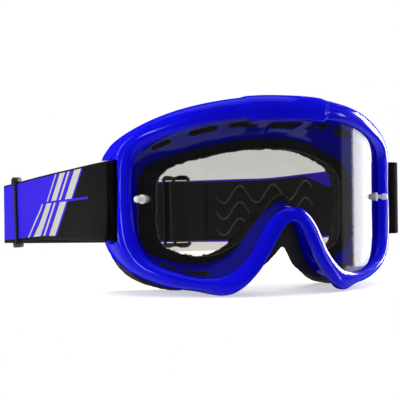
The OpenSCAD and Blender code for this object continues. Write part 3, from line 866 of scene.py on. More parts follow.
def moulded_plastic(name, colour, rough, grain):
    """Moulded plastic with a fine grain, rubbed a little smoother in places."""
    mat, tree, bsdf = new_material(name, colour, rough)
    at = object_coords(tree)
    rub = noise_value(tree, at, 120, 4)
    level = ranged(tree, rub, 0.3, 0.75, rough * 0.75, min(rough * 1.3, 1))
    tone = ramp(tree, rub, [(0.35, toned(colour, 0.85)), (0.8, toned(colour, 1.25, 0.002))])
    join_to(tree, bsdf, Base_Color=tone, Roughness=level,
            Normal=bump(tree, noise_value(tree, at, 1000 / grain, 4), 0.00006, 0.5))
    return mat


def milky_nylon(colour):
    mat = moulded_plastic("milky_nylon", colour, 0.28, 0.5)
    set_sockets(mat.node_tree.nodes["Principled BSDF"], Subsurface_Weight=0.4, Subsurface_Radius=(1, 1, 1),
                Subsurface_Scale=0.002, Coat_Weight=0.25)
    return mat


def sewing_thread(colour):
    mat, tree, bsdf = new_material("sewing_thread", colour, 0.6)
    turned = mapped(tree, object_coords(tree), Rotation=(0.7, 0.2, 0.5))
    wave = add(tree, "ShaderNodeTexWave", {"Vector": turned, "Scale": 900.0, "Distortion": 1.0})
    twist = wave.outputs["Fac"]
    # Painted shade and light along the twist: its grooves darker, its strands lighter.
    tone = ramp(tree, twist, [(0.2, toned(colour, 0.5)), (0.8, toned(colour, 1.6))])
    join_to(tree, bsdf, Base_Color=tone, Normal=bump(tree, twist, 0.0001, 0.7))
    return mat


_materials = {}


def material(key):
    """Each material is made once, from the colours in the panel."""
    def c(name):
        return tuple(getattr(bpy.context.scene.goggles_finish, name))

    if key not in _materials:
        makers = {
            "shell": lambda: glossy_shell(c("shell")),
            "lens": lambda: clear_sheet(c("lens"), c("lens_top")),
            # The rim colour paints a highlight line along the cut edge of foam and fleece.
            "foam": lambda: cut_foam("face_foam", c("foam"), 0.7, c("rim")),
            # This material also paints the vents' walls dark, as shade.
            "vent": lambda: cut_foam("filter_foam", c("vent"), 1.1),
            "fleece": lambda: brushed_fleece(c("fleece"), c("rim")),
            "print": lambda: printed_webbing(c("field"), c("pale"), toned(c("webbing"), 0.4), strap_length()),
            "lining": lambda: lined_webbing(c("webbing"), c("field"), 0),
            "lining_right": lambda: lined_webbing(c("webbing"), c("field"), 72),
            "webbing": lambda: plain_webbing(c("webbing")),
            "silicone": lambda: silicone(c("silicone")),
            "slider": lambda: moulded_plastic("slider_plastic", c("slider"), 0.55, 0.35),
            "nylon": lambda: milky_nylon(c("nylon")),
            "thread": lambda: sewing_thread(c("thread")),
        }
        _materials[key] = makers[key]()
    return _materials[key]


def strap_length():
    return float(distances(path(band_points(), 8))[-1])


# Geometry node trees

def gn_tree(name, **inputs):
    """A new tree with a mesh in and out and the named inputs."""
    tree = bpy.data.node_groups.new(name, "GeometryNodeTree")
    tree.interface.new_socket("Geometry", in_out="INPUT", socket_type="NodeSocketGeometry")
    for key, default in inputs.items():
        kind = "NodeSocketInt" if isinstance(default, int) else "NodeSocketFloat"
        tree.interface.new_socket(key, in_out="INPUT", socket_type=kind).default_value = default
    tree.interface.new_socket("Geometry", in_out="OUTPUT", socket_type="NodeSocketGeometry")
    return tree, tree.nodes.new("NodeGroupInput").outputs


def gn_finish(tree, geometry_socket, mat):
    """Makes the instances real, paints them and leads them out of the tree."""
    real = add(tree, "GeometryNodeRealizeInstances", {"Geometry": geometry_socket})
    paint = add(tree, "GeometryNodeSetMaterial", {"Geometry": real.outputs[0], "Material": mat})
    tree.links.new(paint.outputs[0], tree.nodes.new("NodeGroupOutput").inputs[0])
    return tree


def gn_apply(obj, tree, values):
    """Runs a tree on the object with the given inputs, and keeps the result as a plain mesh."""
    mod = obj.modifiers.new(tree.name, "NODES")
    mod.node_group = tree
    for item in tree.interface.items_tree:
        if item.in_out == "INPUT" and item.name in values:
            mod[item.identifier] = values[item.name]
    settle(obj)
    bpy.data.node_groups.remove(tree)
    return obj


def wave_tree(mat):
    """Raised lines that swing up and down along a path."""
    tree, given = gn_tree("grip lines", Rows=3, Step=0.0115, Pitch=0.022, Swing=0.005, Radius=0.0007)
    curve = add(tree, "GeometryNodeMeshToCurve", {"Mesh": given["Geometry"]})
    fine = add(tree, "GeometryNodeResampleCurve", {"Curve": curve.outputs[0], "Length": 0.0009},
               mode="LENGTH")
    rows = add(tree, "GeometryNodeDuplicateElements", {"Geometry": fine.outputs[0], "Amount": given["Rows"]},
               domain="SPLINE")
    middle = maths(tree, "MULTIPLY", maths(tree, "SUBTRACT", given["Rows"], 1.0), 0.5)
    level = maths(tree, "SUBTRACT", rows.outputs["Duplicate Index"], middle)
    level = maths(tree, "MULTIPLY", level, given["Step"])
    along = tree.nodes.new("GeometryNodeSplineParameter").outputs["Length"]
    turn = maths(tree, "MULTIPLY", maths(tree, "DIVIDE", along, given["Pitch"]), 2 * math.pi)
    swing = maths(tree, "MULTIPLY", maths(tree, "SINE", turn), given["Swing"])
    lift_by = add(tree, "ShaderNodeCombineXYZ", {"Z": maths(tree, "ADD", level, swing)})
    moved = add(tree, "GeometryNodeSetPosition", {"Geometry": rows.outputs[0], "Offset": lift_by.outputs[0]})
    ring = add(tree, "GeometryNodeCurvePrimitiveCircle", {"Resolution": 8, "Radius": given["Radius"]})
    tube = add(tree, "GeometryNodeCurveToMesh", {"Curve": moved.outputs[0], "Profile Curve": ring.outputs[0],
                                                 "Fill Caps": True})
    return gn_finish(tree, tube.outputs[0], mat)


def stitch_tree(mat):
    """A row of short thread stitches along a path."""
    tree, given = gn_tree("stitches", Pitch=0.003, Length=0.0022, Radius=0.0003)
    curve = add(tree, "GeometryNodeMeshToCurve", {"Mesh": given["Geometry"]})
    points = add(tree, "GeometryNodeCurveToPoints", {"Curve": curve.outputs[0], "Length": given["Pitch"]},
                 mode="LENGTH")
    thread = add(tree, "GeometryNodeMeshUVSphere", {"Segments": 8, "Rings": 6, "Radius": 1.0})
    size = add(tree, "ShaderNodeCombineXYZ", {"X": given["Radius"], "Y": given["Radius"],
                                              "Z": maths(tree, "MULTIPLY", given["Length"], 0.5)})
    stitches = add(tree, "GeometryNodeInstanceOnPoints", {
        "Points": points.outputs[0], "Instance": thread.outputs[0], "Rotation": points.outputs["Rotation"],
        "Scale": size.outputs[0]})
    return gn_finish(tree, stitches.outputs[0], mat)


def fuzz_tree(mat):
    """Short bent fibres scattered over a surface."""
    tree, given = gn_tree("fibres", Density=900000.0, Length=0.0011, Width=0.00006, Seed=4)
    spots = add(tree, "GeometryNodeDistributePointsOnFaces", {
        "Mesh": given["Geometry"], "Density": given["Density"], "Seed": given["Seed"]})
    fibre = add(tree, "GeometryNodeMeshCone", {
        "Vertices": 3, "Radius Top": 0.0, "Radius Bottom": 1.0, "Depth": 1.0}, fill_type="NONE")
    lean = add(tree, "FunctionNodeRandomValue", {"Seed": 7, 0: (-0.9, -0.9, -3.1), 1: (0.9, 0.9, 3.1)},
               data_type="FLOAT_VECTOR")
    turn = add(tree, "FunctionNodeEulerToRotation", {"Euler": lean.outputs[0]})
    turned = add(tree, "FunctionNodeRotateRotation", {
        "Rotation": spots.outputs["Rotation"], "Rotate By": turn.outputs[0]}, rotation_space="LOCAL")
    grow = add(tree, "FunctionNodeRandomValue", {"Seed": 11, 2: 0.4, 3: 1.0}, data_type="FLOAT")
    size = add(tree, "ShaderNodeCombineXYZ", {
        "X": given["Width"], "Y": given["Width"],
        "Z": maths(tree, "MULTIPLY", given["Length"], grow.outputs[1])})
    fibres = add(tree, "GeometryNodeInstanceOnPoints", {
        "Points": spots.outputs[0], "Instance": fibre.outputs[0], "Rotation": turned.outputs[0],
        "Scale": size.outputs[0]})
    return gn_finish(tree, fibres.outputs[0], mat)


# Pieces

def build_shell(sizes):
    """The glossy blue frame: bezel, web with vents whose walls wear the filter foam's material as painted
    shade, flange, strap notches and bars.
    """
    shapes = Outlines(8)
    rings = [shapes.frame_ring(i) for i in range(shapes.count)]
    obj = swept("frame_shell", rings, True)
    crease(obj, len(rings[0]), {0: 0.7, 3: 0.25, 6: 0.85, 7: 0.85, 8: 0.4, 11: 0.4, 12: 0.9, 13: 0.9, 14: 0.7,
                                15: 0.8})
    subdivide(obj, 2)
    press_panel(obj, sizes)
    obj.data.materials.append(material("shell"))
    cutters = []
    for side in (-1, 1):
        x = sorted((side * (BAR_X - LOOP_R - STRAP_T / 2 - NOTCH_GAP), side * NOTCH_OUT))
        front = BAR_Y - SLACK_R - STRAP_T / 2 - STRAP_GAP
        cutters.append(block("notch", (x[0], front, -NOTCH_H), (x[1], front + NOTCH_LONG, NOTCH_H)))
    for near, far, spans in VENTS:
        for first, last in spans:
            cutters.append(vent_cutter(shapes, first, last, near, far))
            # The slots' walls take the filter foam's dark material: painted shade in the slots.
            cutters[-1].data.materials.append(material("vent"))
    carve(obj, cutters)
    end = NOTCH_H + BAR_TAIL
    bars = [cylinder_between("bar", (x, BAR_Y, -end), (x, BAR_Y, end), BAR_R) for x in (-BAR_X, BAR_X)]
    obj = joined("frame_shell", [obj] + bars)
    smooth_faces(obj, 32)
    for key in ("shell", "vent"):
        obj.data.materials.append(material(key))
    dress(obj, None, SHELL, "blue_shell", "frame")


def press_panel(obj, sizes):
    """Sinks the bare brow panel, with its slanted ends, and drops the lip below it."""
    depth, half = sizes.panel_recess * 1000, sizes.panel_half * 1000
    mesh = obj.data
    normals = [v.normal.copy() for v in mesh.vertices]
    for v, n in zip(mesh.vertices, normals):
        x, y, z = v.co * 1000
        if z < 40 or y > FRONT_Y + 14:
            continue
        low, high = (np.interp(abs(x), *zip(*line[:3])) for line in (OPENING, OUTSIDE))
        share = min(max((z - low) / (high - low), 0), 1)
        edge = half - 0.8 + 2.2 * share
        v.co -= n * (depth * 0.001 * smooth((edge - abs(x)) / 4.5 + 0.5))
        if share < 0.3:
            v.co.z -= sizes.panel_lip * smooth((half - 0.4 - abs(x)) / 2.0 + 0.5) * (1 - share / 0.3)
    mesh.update()


def vent_cutter(shapes, first, last, near, far):
    """A slot with rounded ends, cut from inside the web outwards."""
    steps, round_part, inner, outer = 14, 0.16, -7, 3
    middle, half = (near + far) / 2, (far - near) / 2
    rings = []
    for k in range(steps + 1):
        t = k / steps
        to_end = min(t, 1 - t)
        tight = math.sqrt(max(0.0, 1 - (1 - to_end / round_part) ** 2)) if to_end < round_part else 1
        h = half * max(tight, 0.25)
        at = mix(first, last, t)
        rings.append([shapes.neck(at, middle - h, inner), shapes.neck(at, middle - h, outer),
                      shapes.neck(at, middle + h, outer), shapes.neck(at, middle + h, inner)])
    obj = swept("slot", rings, False)
    outward_faces(obj)
    return obj


def within(q, loop):
    """Whether a flat point lies within a closed line."""
    hit = False
    for a, b in zip(loop, loop[1:] + loop[:1]):
        if (a[1] > q[1]) != (b[1] > q[1]) and q[0] < (b[0] - a[0]) * (q[1] - a[1]) / (b[1] - a[1]) + a[0]:
            hit = not hit
    return hit


def build_lens(sizes):
    """The clear sheet, bent round one upright axis, with a hole at each post."""
    shapes = Outlines(4)
    p = shapes.opening
    edge = []
    for i in range(shapes.count):
        d = p[(i + 1) % shapes.count] - p[i - 1]
        seat = np.array((d[1], -d[0])) / np.linalg.norm(d) * LENS_SEAT
        edge.append(p[i] - seat if -seat @ (shapes.outside[i] - p[i]) > 0 else p[i] + seat)
    squeeze = math.sqrt(LENS_R ** 2 - POST_X ** 2) / LENS_R
    turns = [2 * math.pi * k / 20 for k in range(20)]
    holes = [[np.array((s * POST_X + POST_HOLE_R * squeeze * math.cos(a), POST_Z + POST_HOLE_R * math.sin(a)))
              for a in turns] for s in (-1, 1)]
    pts, edges = [], []
    for loop in [edge] + holes:
        base = len(pts)
        pts += loop
        edges += [(base + i, base + (i + 1) % len(loop)) for i in range(len(loop))]
    ring = np.array(edge)
    posts = np.array([(s * POST_X, POST_Z) for s in (-1, 1)])
    for x in np.arange(-82, 82.1, 2.5):
        for z in np.arange(-44, 49, 5):
            q = np.array((x, z))
            off_edge, off_posts = (np.min(np.linalg.norm(near - q, axis=1)) for near in (ring, posts))
            if off_edge > 1.8 and off_posts > 2.6 and within(q, edge):
                pts.append(q)
    flat, _, cells = geometry.delaunay_2d_cdt([Vector(map(float, q)) for q in pts], edges, [], 0, 1e-6)[:3]
    kept = []
    for f in cells:
        c = sum((np.array(flat[i]) for i in f), np.zeros(2)) / len(f)
        if within(c, edge) and not any(within(c, h) for h in holes):
            kept.append(f)
    n = len(flat)
    middle = FRONT_Y + LENS_R
    verts = [(v[0], middle - math.sqrt(r ** 2 - v[0] ** 2), v[1])
             for r in (LENS_R, LENS_R - LENS_T) for v in flat]
    sides = {(a, b) for f in kept for a, b in zip(f, f[1:] + f[:1])}
    rim = [(a, b) for f in kept for a, b in zip(f, f[1:] + f[:1]) if (b, a) not in sides]
    faces = [tuple(f) for f in kept] + [tuple(n + i for i in f[::-1]) for f in kept]
    faces += [(b, a, n + a, n + b) for a, b in rim]
    obj = object_from("lens_sheet", verts, faces)
    outward_faces(obj)
    smooth_faces(obj, 40)
    dress(obj, material("lens"), SHELL, "clear_lens", "lens")


def foam_layer(name, near, far, levels, bulge, highlight_line_at):
    """One layer of the face foam, with its sides a little full and a rim, where a painted highlight line
    goes, marked at one of its ten lines.
    """
    shapes = Outlines(4)
    total = FOAM_BASE + FOAM_FACE + FLEECE
    rings = []
    for i in range(shapes.count):
        f, g, d, e = shapes.foam_out[i], shapes.flange[i], shapes.funnel[i], shapes.foam_in[i]
        inward = (e - f) / np.linalg.norm(e - f)
        e_near, e_far = mix(e, d, 0.34 * near / total), mix(e, d, 0.34 * far / total)
        middle, half = (near + far) / 2, mix(e_near, e_far, 0.5)
        flap = 0.85 * nose_part(shapes.opening[i], 24, 40)
        f_near, f_mid, f_far = (mix(f, g, flap * smooth(back / total)) for back in (near, middle, far))
        full = inward * bulge
        rings.append([lift(e_near, face_y(e) + near), lift(d, face_y(d) + near), lift(g, face_y(g) + near),
                      lift(f_near, face_y(f_near) + near), lift(f_mid - full, face_y(f_mid) + middle),
                      lift(f_far, face_y(f_far) + far), lift(g, face_y(g) + far), lift(d, face_y(d) + far),
                      lift(e_far, face_y(e) + far), lift(half + full, face_y(e) + middle)])
    m = len(rings[0])
    obj = swept(name, rings, True)
    crease(obj, m, {0: 0.75, 3: 0.75, 5: 0.6, 8: 0.6})
    # The rim line marks where the painted highlight goes.
    for key, lines in (("rim", (highlight_line_at,)), ("cut_side", (0, 8, 9))):
        mark = obj.data.attributes.new(key, "FLOAT", "POINT")
        mark.data.foreach_set("value", [float(i % m in lines) for i in range(len(obj.data.vertices))])
    subdivide(obj, levels)
    rim = obj.data.attributes["rim"].data
    shares = np.zeros(len(rim))
    rim.foreach_get("value", shares)
    rim.foreach_set("value", (shares > 0.9 * max(shares.max(), 0.01)).astype(float))
    return obj


def build_foam(sizes):
    """The firm and the soft foam, the fleece over them, and its short fibres."""
    near = GLUE
    for name, node, far, key, slot, seed, highlight_line_at in (
            ("foam_firm_layer", "foam_base", FOAM_BASE, "foam", "dark_foam", 1, 0),
            ("foam_soft_layer", "foam_face", FOAM_BASE + FOAM_FACE, "foam", "dark_foam", 2, None),
            ("fleece_layer", "face_fleece", FOAM_BASE + FOAM_FACE + FLEECE, "fleece", "black_fleece", 3, 8)):
        obj = foam_layer(name, near, far, 2, 0.25, highlight_line_at)
        rough_up(obj, 0.9, 3.5, seed)
        rough_up(obj, 0.6, 1.4, seed + 5)
        obj.data.attributes.remove(obj.data.attributes["cut_side"])
        smooth_faces(obj, 60)
        dress(obj, material(key), SHELL, slot, node)
        near = far + GLUE
    fuzz = placed("fleece_fibres", bpy.data.objects["fleece_layer"].data.copy())
    density = sizes.fibre_density
    gn_apply(fuzz, fuzz_tree(material("fleece")), {"Density": density, "Length": 0.0011})
    dress(fuzz, None, SHELL, "black_fleece")


def build_vent_foams(sizes):
    """Open foam strips laid over the vents, in the channel round the frame."""
    shapes = Outlines(8)
    for name, first, last, far in (("vent_strip_top", -32, 32, 0.86),
                                   ("vent_strip_bottom_right", 74, 94, 0.8),
                                   ("vent_strip_bottom_left", -94, -74, 0.8)):
        near = 0.2
        thirds = [mix(near, far, share) for share in (0.33, 0.67)]
        section = [(near, STRAP_GAP), (near, VENT_FOAM), (thirds[0], VENT_FOAM + 0.1),
                   (thirds[1], VENT_FOAM + 0.1), (far, VENT_FOAM), (far, STRAP_GAP),
                   (thirds[1], STRAP_GAP), (thirds[0], STRAP_GAP)]
        obj = swept(name, [[shapes.neck(k, share, out) for share, out in section]
                           for k in range(first, last + 1)], False)
        crease(obj, len(section), {0: 0.8, 1: 0.7, 4: 0.7, 5: 0.8})
        subdivide(obj, 2)
        outward_faces(obj)
        rough_up(obj, 0.5, 2.2, len(name))
        smooth_faces(obj, 60)
        dress(obj, material("vent"), SHELL, "vent_foam", name.replace("strip", "foam"))


def build_strap(sizes):
    """The printed band, the inner layers and the sewn tabs."""
    line = path(band_points(), 10)
    obj, m = ribbon("strap_outer_band", line, STRAP_W)
    obj.data.materials.append(material("print"))
    obj.data.materials.append(material("lining"))
    normals = across(line)
    for p in obj.data.polygons:
        i = min(min(v // m for v in p.vertices), len(line) - 1)
        p.material_index = 1 if p.normal @ Vector(normals[i]) > 0.9 else 0
    dress(obj, None, SHELL, "printed_webbing", "strap_band")
    for side, look in ((-1, "webbing"), (1, "lining_right")):
        word = SIDE[side]
        inner, _ = ribbon("strap_inner_" + word, return_line(side, 8), STRAP_W - 1)
        dress(inner, material(look), None, "black_webbing", "strap_return_" + word)
        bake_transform(inner)
        flat = tab_line(5)
        _, along, inside, up = slider_frame(side)
        local = np.array([(-(b[1]), b[0], 0) for b in np.gradient(flat, axis=0)])
        local = local / np.linalg.norm(local, axis=1)[:, None]
        normals = np.array([along * n[0] + inside * n[1] for n in local])
        tab, _ = ribbon("strap_tab_sewn_" + word, in_slider(side, flat), STRAP_W - 1.6,
                        normals=normals, ups=np.tile(up, (len(flat), 1)))
        dress(tab, material("webbing"), SLIDER_BODIES[side], "black_webbing", "strap_tab_" + word)


def trimmed(line, from_start, from_end):
    """The line without the given lengths at its two ends."""
    s = distances(line)
    return line[(s >= from_start) & (s <= s[-1] - from_end)]


def build_grip_lines(sizes):
    """The wavy silicone lines on the inner faces."""
    rear = np.array([mix(REAR_RUN[0], REAR_RUN[1], 0.02 + 0.52 * k / 12) for k in range(13)])
    values = {"Rows": 3, "Step": BEAD_STEP * 0.001, "Pitch": BEAD_PITCH * 0.001, "Swing": BEAD_WAVE * 0.0005,
              "Radius": sizes.grip_radius}
    for word, line, into in (("rear", rear, 1), ("left", trimmed(return_line(-1, 8), 70, TAB_LEN + 6), 1),
                             ("right", trimmed(return_line(1, 8), 60, TAB_LEN + 6), -1)):
        obj = line_object("grip_lines_" + word, line + across(line) * into * (STRAP_T / 2))
        gn_apply(obj, wave_tree(material("silicone")), values)
        all_smooth(obj)
        dress(obj, None, SHELL if word == "rear" else None, "silicone", "grip_beads_" + word)
        if word != "rear":
            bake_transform(obj)


def build_stitches(sizes):
    """Two rows of thread across each tab."""
    top = TAB_REST + STRAP_T / 2 + 0.08
    reach = (STRAP_W - 8) / 2
    for side in (-1, 1):
        rows = []
        for share in (0.625, 0.875):
            ends = [(TAB_LEN * share, top, -reach), (TAB_LEN * share, top, reach)]
            row = line_object("row", in_slider(side, ends))
            rows.append(gn_apply(row, stitch_tree(material("thread")),
                                 {"Pitch": sizes.stitch_pitch, "Length": sizes.stitch_pitch * 0.75}))
        obj = joined("stitches_" + SIDE[side], rows)
        all_smooth(obj)
        dress(obj, material("thread"), SLIDER_BODIES[side], "thread", "tab_stitches_" + SIDE[side])


def build_sliders(sizes):
    """The two three-bar sliders, with their edges eased."""
    for side in (-1, 1):
        obj = softened_copy("adjuster_" + SIDE[side], "slider_" + SIDE[side], 0.6)
        dress(obj, material("slider"), SLIDER_BODIES[side], "black_plastic", "slider_" + SIDE[side])


def build_posts(sizes):
    """The studs for tear-off films and their washers behind the lens."""
    for side in (-1, 1):
        for part, name, width in (("post", "stud_post_", 0.25), ("post_washer", "stud_washer_", 0.2)):
            node = "%s_%s" % (part, SIDE[side])
            obj = softened_copy(name + SIDE[side], node, width, 35)
            dress(obj, material("nylon"), POST_BODIES[side], "white_nylon", node)


# Studio

def pale_floor(studio):
    """The floor, seen white by camera, gloss and glass, and keeping the goggles' shadow."""
    low = CAD_BOX[0][2] - 0.0004
    mesh = bpy.data.meshes.new("studio_floor")
    corners = [(FLOOR_X[i], FLOOR_Y[j], low) for i, j in ((0, 0), (1, 0), (1, 1), (0, 1))]
    mesh.from_pydata(corners, [], [(0, 1, 2, 3)])
    floor = placed("studio_floor", mesh)
    mat, tree, bsdf = new_material("pale_floor", (0.8, 0.8, 0.8), 0.9)
    rays = tree.nodes.new("ShaderNodeLightPath").outputs
    seen = maths(tree, "MAXIMUM", rays["Is Camera Ray"], rays["Is Glossy Ray"])
    seen = maths(tree, "MAXIMUM", seen, rays["Is Transmission Ray"])
    set_sockets(bsdf, Specular_IOR_Level=0.0, Emission_Color=(1, 1, 1, 1))
    join_to(tree, bsdf, Emission_Strength=maths(tree, "MULTIPLY", seen, studio.floor_lift))
    mesh.materials.append(mat)


def surroundings(studio):
    """White where it is seen, an even fill, and two levels for gloss."""
    world = bpy.data.worlds.new("studio_world")
    bpy.context.scene.world = world
    world.use_nodes = True
    tree = world.node_tree
    rays = tree.nodes.new("ShaderNodeLightPath").outputs
    way = part_of(tree, tree.nodes.new("ShaderNodeTexCoord").outputs["Generated"], 1)
    beyond = maths(tree, "MULTIPLY", ranged(tree, way, 0.1, 0.3), studio.bright_side)
    shine = maths(tree, "MULTIPLY", rays["Is Glossy Ray"], maths(tree, "ADD", beyond, studio.dark_side))
    seen = maths(tree, "MAXIMUM", rays["Is Camera Ray"], rays["Is Transmission Ray"])
    lit = maths(tree, "MULTIPLY", rays["Is Diffuse Ray"], studio.fill)
    strength = maths(tree, "MAXIMUM", seen, maths(tree, "MAXIMUM", shine, lit))
    sky = tree.nodes["Background"]
    tree.links.new(strength, sky.inputs["Strength"])
    sky.inputs["Color"].default_value = (1, 1, 1, 1)


def lamps(studio):
    """Soft boxes, and small lamps that only the frame's gloss shows."""
    linked = {state: bpy.data.collections.new("shell_" + state.lower()) for state in ("INCLUDE", "EXCLUDE")}
    for state, members in linked.items():
        members.objects.link(bpy.data.objects["frame_shell"])
        members.collection_objects[0].light_linking.link_state = state
    boxes = {name: soft_box(name, at, way, size, getattr(studio, level) * share)
             for name, at, way, size, level, share in LAMPS}
    boxes["box_right"].visible_glossy = False
    shown = boxes["box_right_shown"]
    shown.visible_diffuse = False
    shown.light_linking.receiver_collection = linked["EXCLUDE"]
    for name, at, size, share in GLINTS:
        glint = soft_box(name, at, [-c for c in at], size, studio.glints * share)
        glint.visible_diffuse = False
        glint.light_linking.receiver_collection = linked["INCLUDE"]


def soft_box(name, at, way, size, radiance):
    """A rectangular light of even brightness, facing the given way."""
    data = bpy.data.lights.new(name, "AREA")
    data.shape = "RECTANGLE"
    data.size, data.size_y = size
    data.energy = radiance * math.pi * size[0] * size[1]
    obj = placed(name, data)
    z = -Vector(way).normalized()
    x = Vector((0, 0, 1)).cross(z)
    x = x.normalized() if x.length > 0.01 else Vector((1, 0, 0))
    turn_to(obj, x, z.cross(x), z, at)
    obj.visible_camera = False
    return obj


def turn_to(obj, x, y, z, at):
    """Places an object at a point, with its own three directions given."""
    obj.matrix_world = Matrix([(x[i], y[i], z[i], at[i]) for i in range(3)] + [(0, 0, 0, 1)])


def photo_camera():
    """The camera at the photograph's place and angle."""
    data = bpy.data.cameras.new("photo_camera")
    data.sensor_width = 36.0
    data.lens = CAMERA_LENS
    data.clip_start, data.clip_end = 0.01, 100
    cam = placed("photo_camera", data)
    forward = Vector(CAMERA_WAY).normalized()
    up = Vector(CAMERA_RIGHT).normalized().cross(forward).normalized()
    turn_to(cam, forward.cross(up), up, -forward, CAMERA_AT)
    bpy.context.scene.camera = cam


def build_studio(studio):
    """Pale floor, soft boxes, the surroundings and the camera at the photograph's place."""
    pale_floor(studio)
    surroundings(studio)
    lamps(studio)
    photo_camera()
    bpy.context.scene.view_settings.view_transform = "Standard"


# Panel, settings and operators

def linear(r, g, b):
    """Screen colour, 0 to 255, as the shader wants it."""
    return tuple(c / 12.92 if c <= 0.04045 else ((c + 0.055) / 1.055) ** 2.4
                 for c in (r / 255, g / 255, b / 255))


def colour_property(name, text, value):
    return bpy.props.FloatVectorProperty(name=name, description=text, default=value, size=3, min=0, max=1,
                                         subtype="COLOR")


def length_property(name, text, value, low, high):
    return bpy.props.FloatProperty(name=name, description=text, default=value, min=low, max=high,
                                   unit="LENGTH", precision=5)


def number_property(name, text, value, high, low=0.0):
    return bpy.props.FloatProperty(name=name, description=text, default=value, min=low, max=high)


class GogglesSizes(bpy.types.PropertyGroup):
    panel_recess: length_property("Panel recess", "Depth of the bare brow panel", 0.0006, 0.0, 0.001)
    panel_lip: length_property("Panel lip", "How far the lip dips below the brow panel", 0.0013, 0.0, 0.002)
    panel_half: length_property("Panel half width", "Half the brow panel's width", 0.023, 0.018, 0.03)
    grip_radius: length_property("Grip line radius", "Radius of a silicone line", 0.0007, 0.0004, 0.001)
    stitch_pitch: length_property("Stitch pitch", "Distance from stitch to stitch", 0.003, 0.002, 0.005)
    fibre_density: number_property("Fibre density", "Fleece fibres to a square metre", 600000.0,
                                   900000.0, 10000.0)


class GogglesFinish(bpy.types.PropertyGroup):
    shell: colour_property("Frame", "Colour of the moulded frame", linear(16, 12, 236))
    lens: colour_property("Lens foot", "What each face of the lens lets through at its foot",
                          (0.88, 0.845, 0.82))
    lens_top: colour_property("Lens top", "What each face of the lens lets through at its top",
                              (0.73, 0.74, 0.72))
    foam: colour_property("Face foam", "Colour of the face foam", linear(46, 43, 40))
    # The vent foam colour also paints shade on the vents' walls.
    vent: colour_property("Vent foam", "Colour of the filter foam", linear(70, 50, 42))
    fleece: colour_property("Fleece", "Colour of the fleece", linear(36, 33, 31))
    # The cut edge colour paints a highlight line along the cut edge of foam and fleece.
    rim: colour_property("Cut edge", "Colour of the cut edge of foam and fleece", linear(150, 145, 138))
    field: colour_property("Strap field", "Main colour of the strap's print", linear(56, 32, 232))
    pale: colour_property("Strap bars", "Pale colour of the strap's print", linear(212, 210, 202))
    webbing: colour_property("Webbing", "Colour of the plain webbing", linear(22, 21, 21))
    silicone: colour_property("Grip lines", "Colour of the silicone lines", linear(62, 62, 64))
    slider: colour_property("Sliders", "Colour of the sliders", linear(16, 16, 16))
    nylon: colour_property("Posts", "Colour of the posts", linear(243, 244, 242))
    thread: colour_property("Thread", "Colour of the stitching", linear(34, 34, 34))


class GogglesStudio(bpy.types.PropertyGroup):
    fill: number_property("Fill", "Even light from all round", 0.52, 2.0)
    dark_side: number_property("Dark side", "What gloss sees behind the camera", 0.03, 1.0)
    side_box: number_property("Side box", "Brightness of the soft box on the right", 4.5, 20.0)
    bright_side: number_property("Bright side", "What gloss sees beyond the goggles", 0.12, 1.0)
    top_box: number_property("Top box", "Brightness of the soft box above", 1.5, 20.0)
    left_strip: number_property("Left strip", "Brightness of the narrow light on the left", 16.0, 40.0)
    glints: number_property("Glints", "Brightness of the small lights that only the frame's gloss shows",
                            26.0, 60.0)
    floor_lift: number_property("Floor lift", "How much whiter the floor is seen than lit", 0.5, 1.0)


class PieceOperator:
    """What the piece operators share."""
    bl_options = {"REGISTER", "UNDO"}

    def execute(self, context):
        type(self).maker(context.scene.goggles_sizes)
        return {"FINISHED"}


class GOGGLES_OT_shell(PieceOperator, bpy.types.Operator):
    """Builds the blue frame"""
    bl_idname = "goggles.shell"
    bl_label = "Frame"
    maker = staticmethod(build_shell)


class GOGGLES_OT_lens(PieceOperator, bpy.types.Operator):
    """Builds the clear lens"""
    bl_idname = "goggles.lens"
    bl_label = "Lens"
    maker = staticmethod(build_lens)


class GOGGLES_OT_foam(PieceOperator, bpy.types.Operator):
    """Builds the face foam and its fleece"""
    bl_idname = "goggles.foam"
    bl_label = "Face foam"
    maker = staticmethod(build_foam)


class GOGGLES_OT_vents(PieceOperator, bpy.types.Operator):
    """Builds the filter foam over the vents"""
    bl_idname = "goggles.vents"
    bl_label = "Vent foam"
    maker = staticmethod(build_vent_foams)


class GOGGLES_OT_strap(PieceOperator, bpy.types.Operator):
    """Builds the strap's band, inner layers and tabs"""
    bl_idname = "goggles.strap"
    bl_label = "Strap"
    maker = staticmethod(build_strap)


class GOGGLES_OT_grips(PieceOperator, bpy.types.Operator):
    """Builds the silicone lines inside the strap"""
    bl_idname = "goggles.grips"
    bl_label = "Grip lines"
    maker = staticmethod(build_grip_lines)


class GOGGLES_OT_stitches(PieceOperator, bpy.types.Operator):
    """Builds the stitching on the tabs"""
    bl_idname = "goggles.stitches"
    bl_label = "Stitches"
    maker = staticmethod(build_stitches)


class GOGGLES_OT_sliders(PieceOperator, bpy.types.Operator):
    """Finishes the two sliders"""
    bl_idname = "goggles.sliders"
    bl_label = "Sliders"
    maker = staticmethod(build_sliders)


class GOGGLES_OT_posts(PieceOperator, bpy.types.Operator):
    """Finishes the posts and their washers"""
    bl_idname = "goggles.posts"
    bl_label = "Posts"
    maker = staticmethod(build_posts)


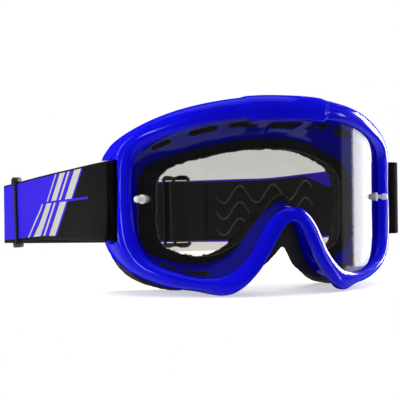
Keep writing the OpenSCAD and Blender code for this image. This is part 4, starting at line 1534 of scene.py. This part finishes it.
class GOGGLES_OT_studio(bpy.types.Operator):
    """Sets up the floor, lights and camera"""
    bl_idname = "goggles.studio"
    bl_label = "Studio"

    def execute(self, context):
        build_studio(context.scene.goggles_studio)
        return {"FINISHED"}


class GOGGLES_PT_panel(bpy.types.Panel):
    bl_label = "Motocross goggles"
    bl_idname = "GOGGLES_PT_panel"
    bl_space_type = "VIEW_3D"
    bl_region_type = "UI"
    bl_category = "Goggles"

    def draw(self, context):
        scene = context.scene
        column = self.layout.column()
        for group in (scene.goggles_sizes, scene.goggles_finish, scene.goggles_studio):
            for key in group.bl_rna.properties.keys():
                if key not in ("rna_type", "name"):
                    column.prop(group, key)
            column.separator()
        for op in OPERATORS:
            column.operator(op.bl_idname)


OPERATORS = (GOGGLES_OT_studio, GOGGLES_OT_shell, GOGGLES_OT_lens, GOGGLES_OT_foam, GOGGLES_OT_vents,
             GOGGLES_OT_strap, GOGGLES_OT_grips, GOGGLES_OT_stitches, GOGGLES_OT_sliders, GOGGLES_OT_posts)
CLASSES = (GogglesSizes, GogglesFinish, GogglesStudio) + OPERATORS + (GOGGLES_PT_panel,)


def register():
    for c in CLASSES:
        bpy.utils.register_class(c)
    bpy.types.Scene.goggles_sizes = bpy.props.PointerProperty(type=GogglesSizes)
    bpy.types.Scene.goggles_finish = bpy.props.PointerProperty(type=GogglesFinish)
    bpy.types.Scene.goggles_studio = bpy.props.PointerProperty(type=GogglesStudio)


def unregister():
    del bpy.types.Scene.goggles_studio
    del bpy.types.Scene.goggles_finish
    del bpy.types.Scene.goggles_sizes
    for c in reversed(CLASSES):
        bpy.utils.unregister_class(c)


def main():
    """Registers everything and builds each piece in turn."""
    register()
    bpy.ops.goggles.shell()
    bpy.ops.goggles.lens()
    bpy.ops.goggles.foam()
    bpy.ops.goggles.vents()
    bpy.ops.goggles.strap()
    bpy.ops.goggles.grips()
    bpy.ops.goggles.stitches()
    bpy.ops.goggles.sliders()
    bpy.ops.goggles.posts()
    bpy.ops.goggles.studio()


if __name__ == "__main__":
    main()
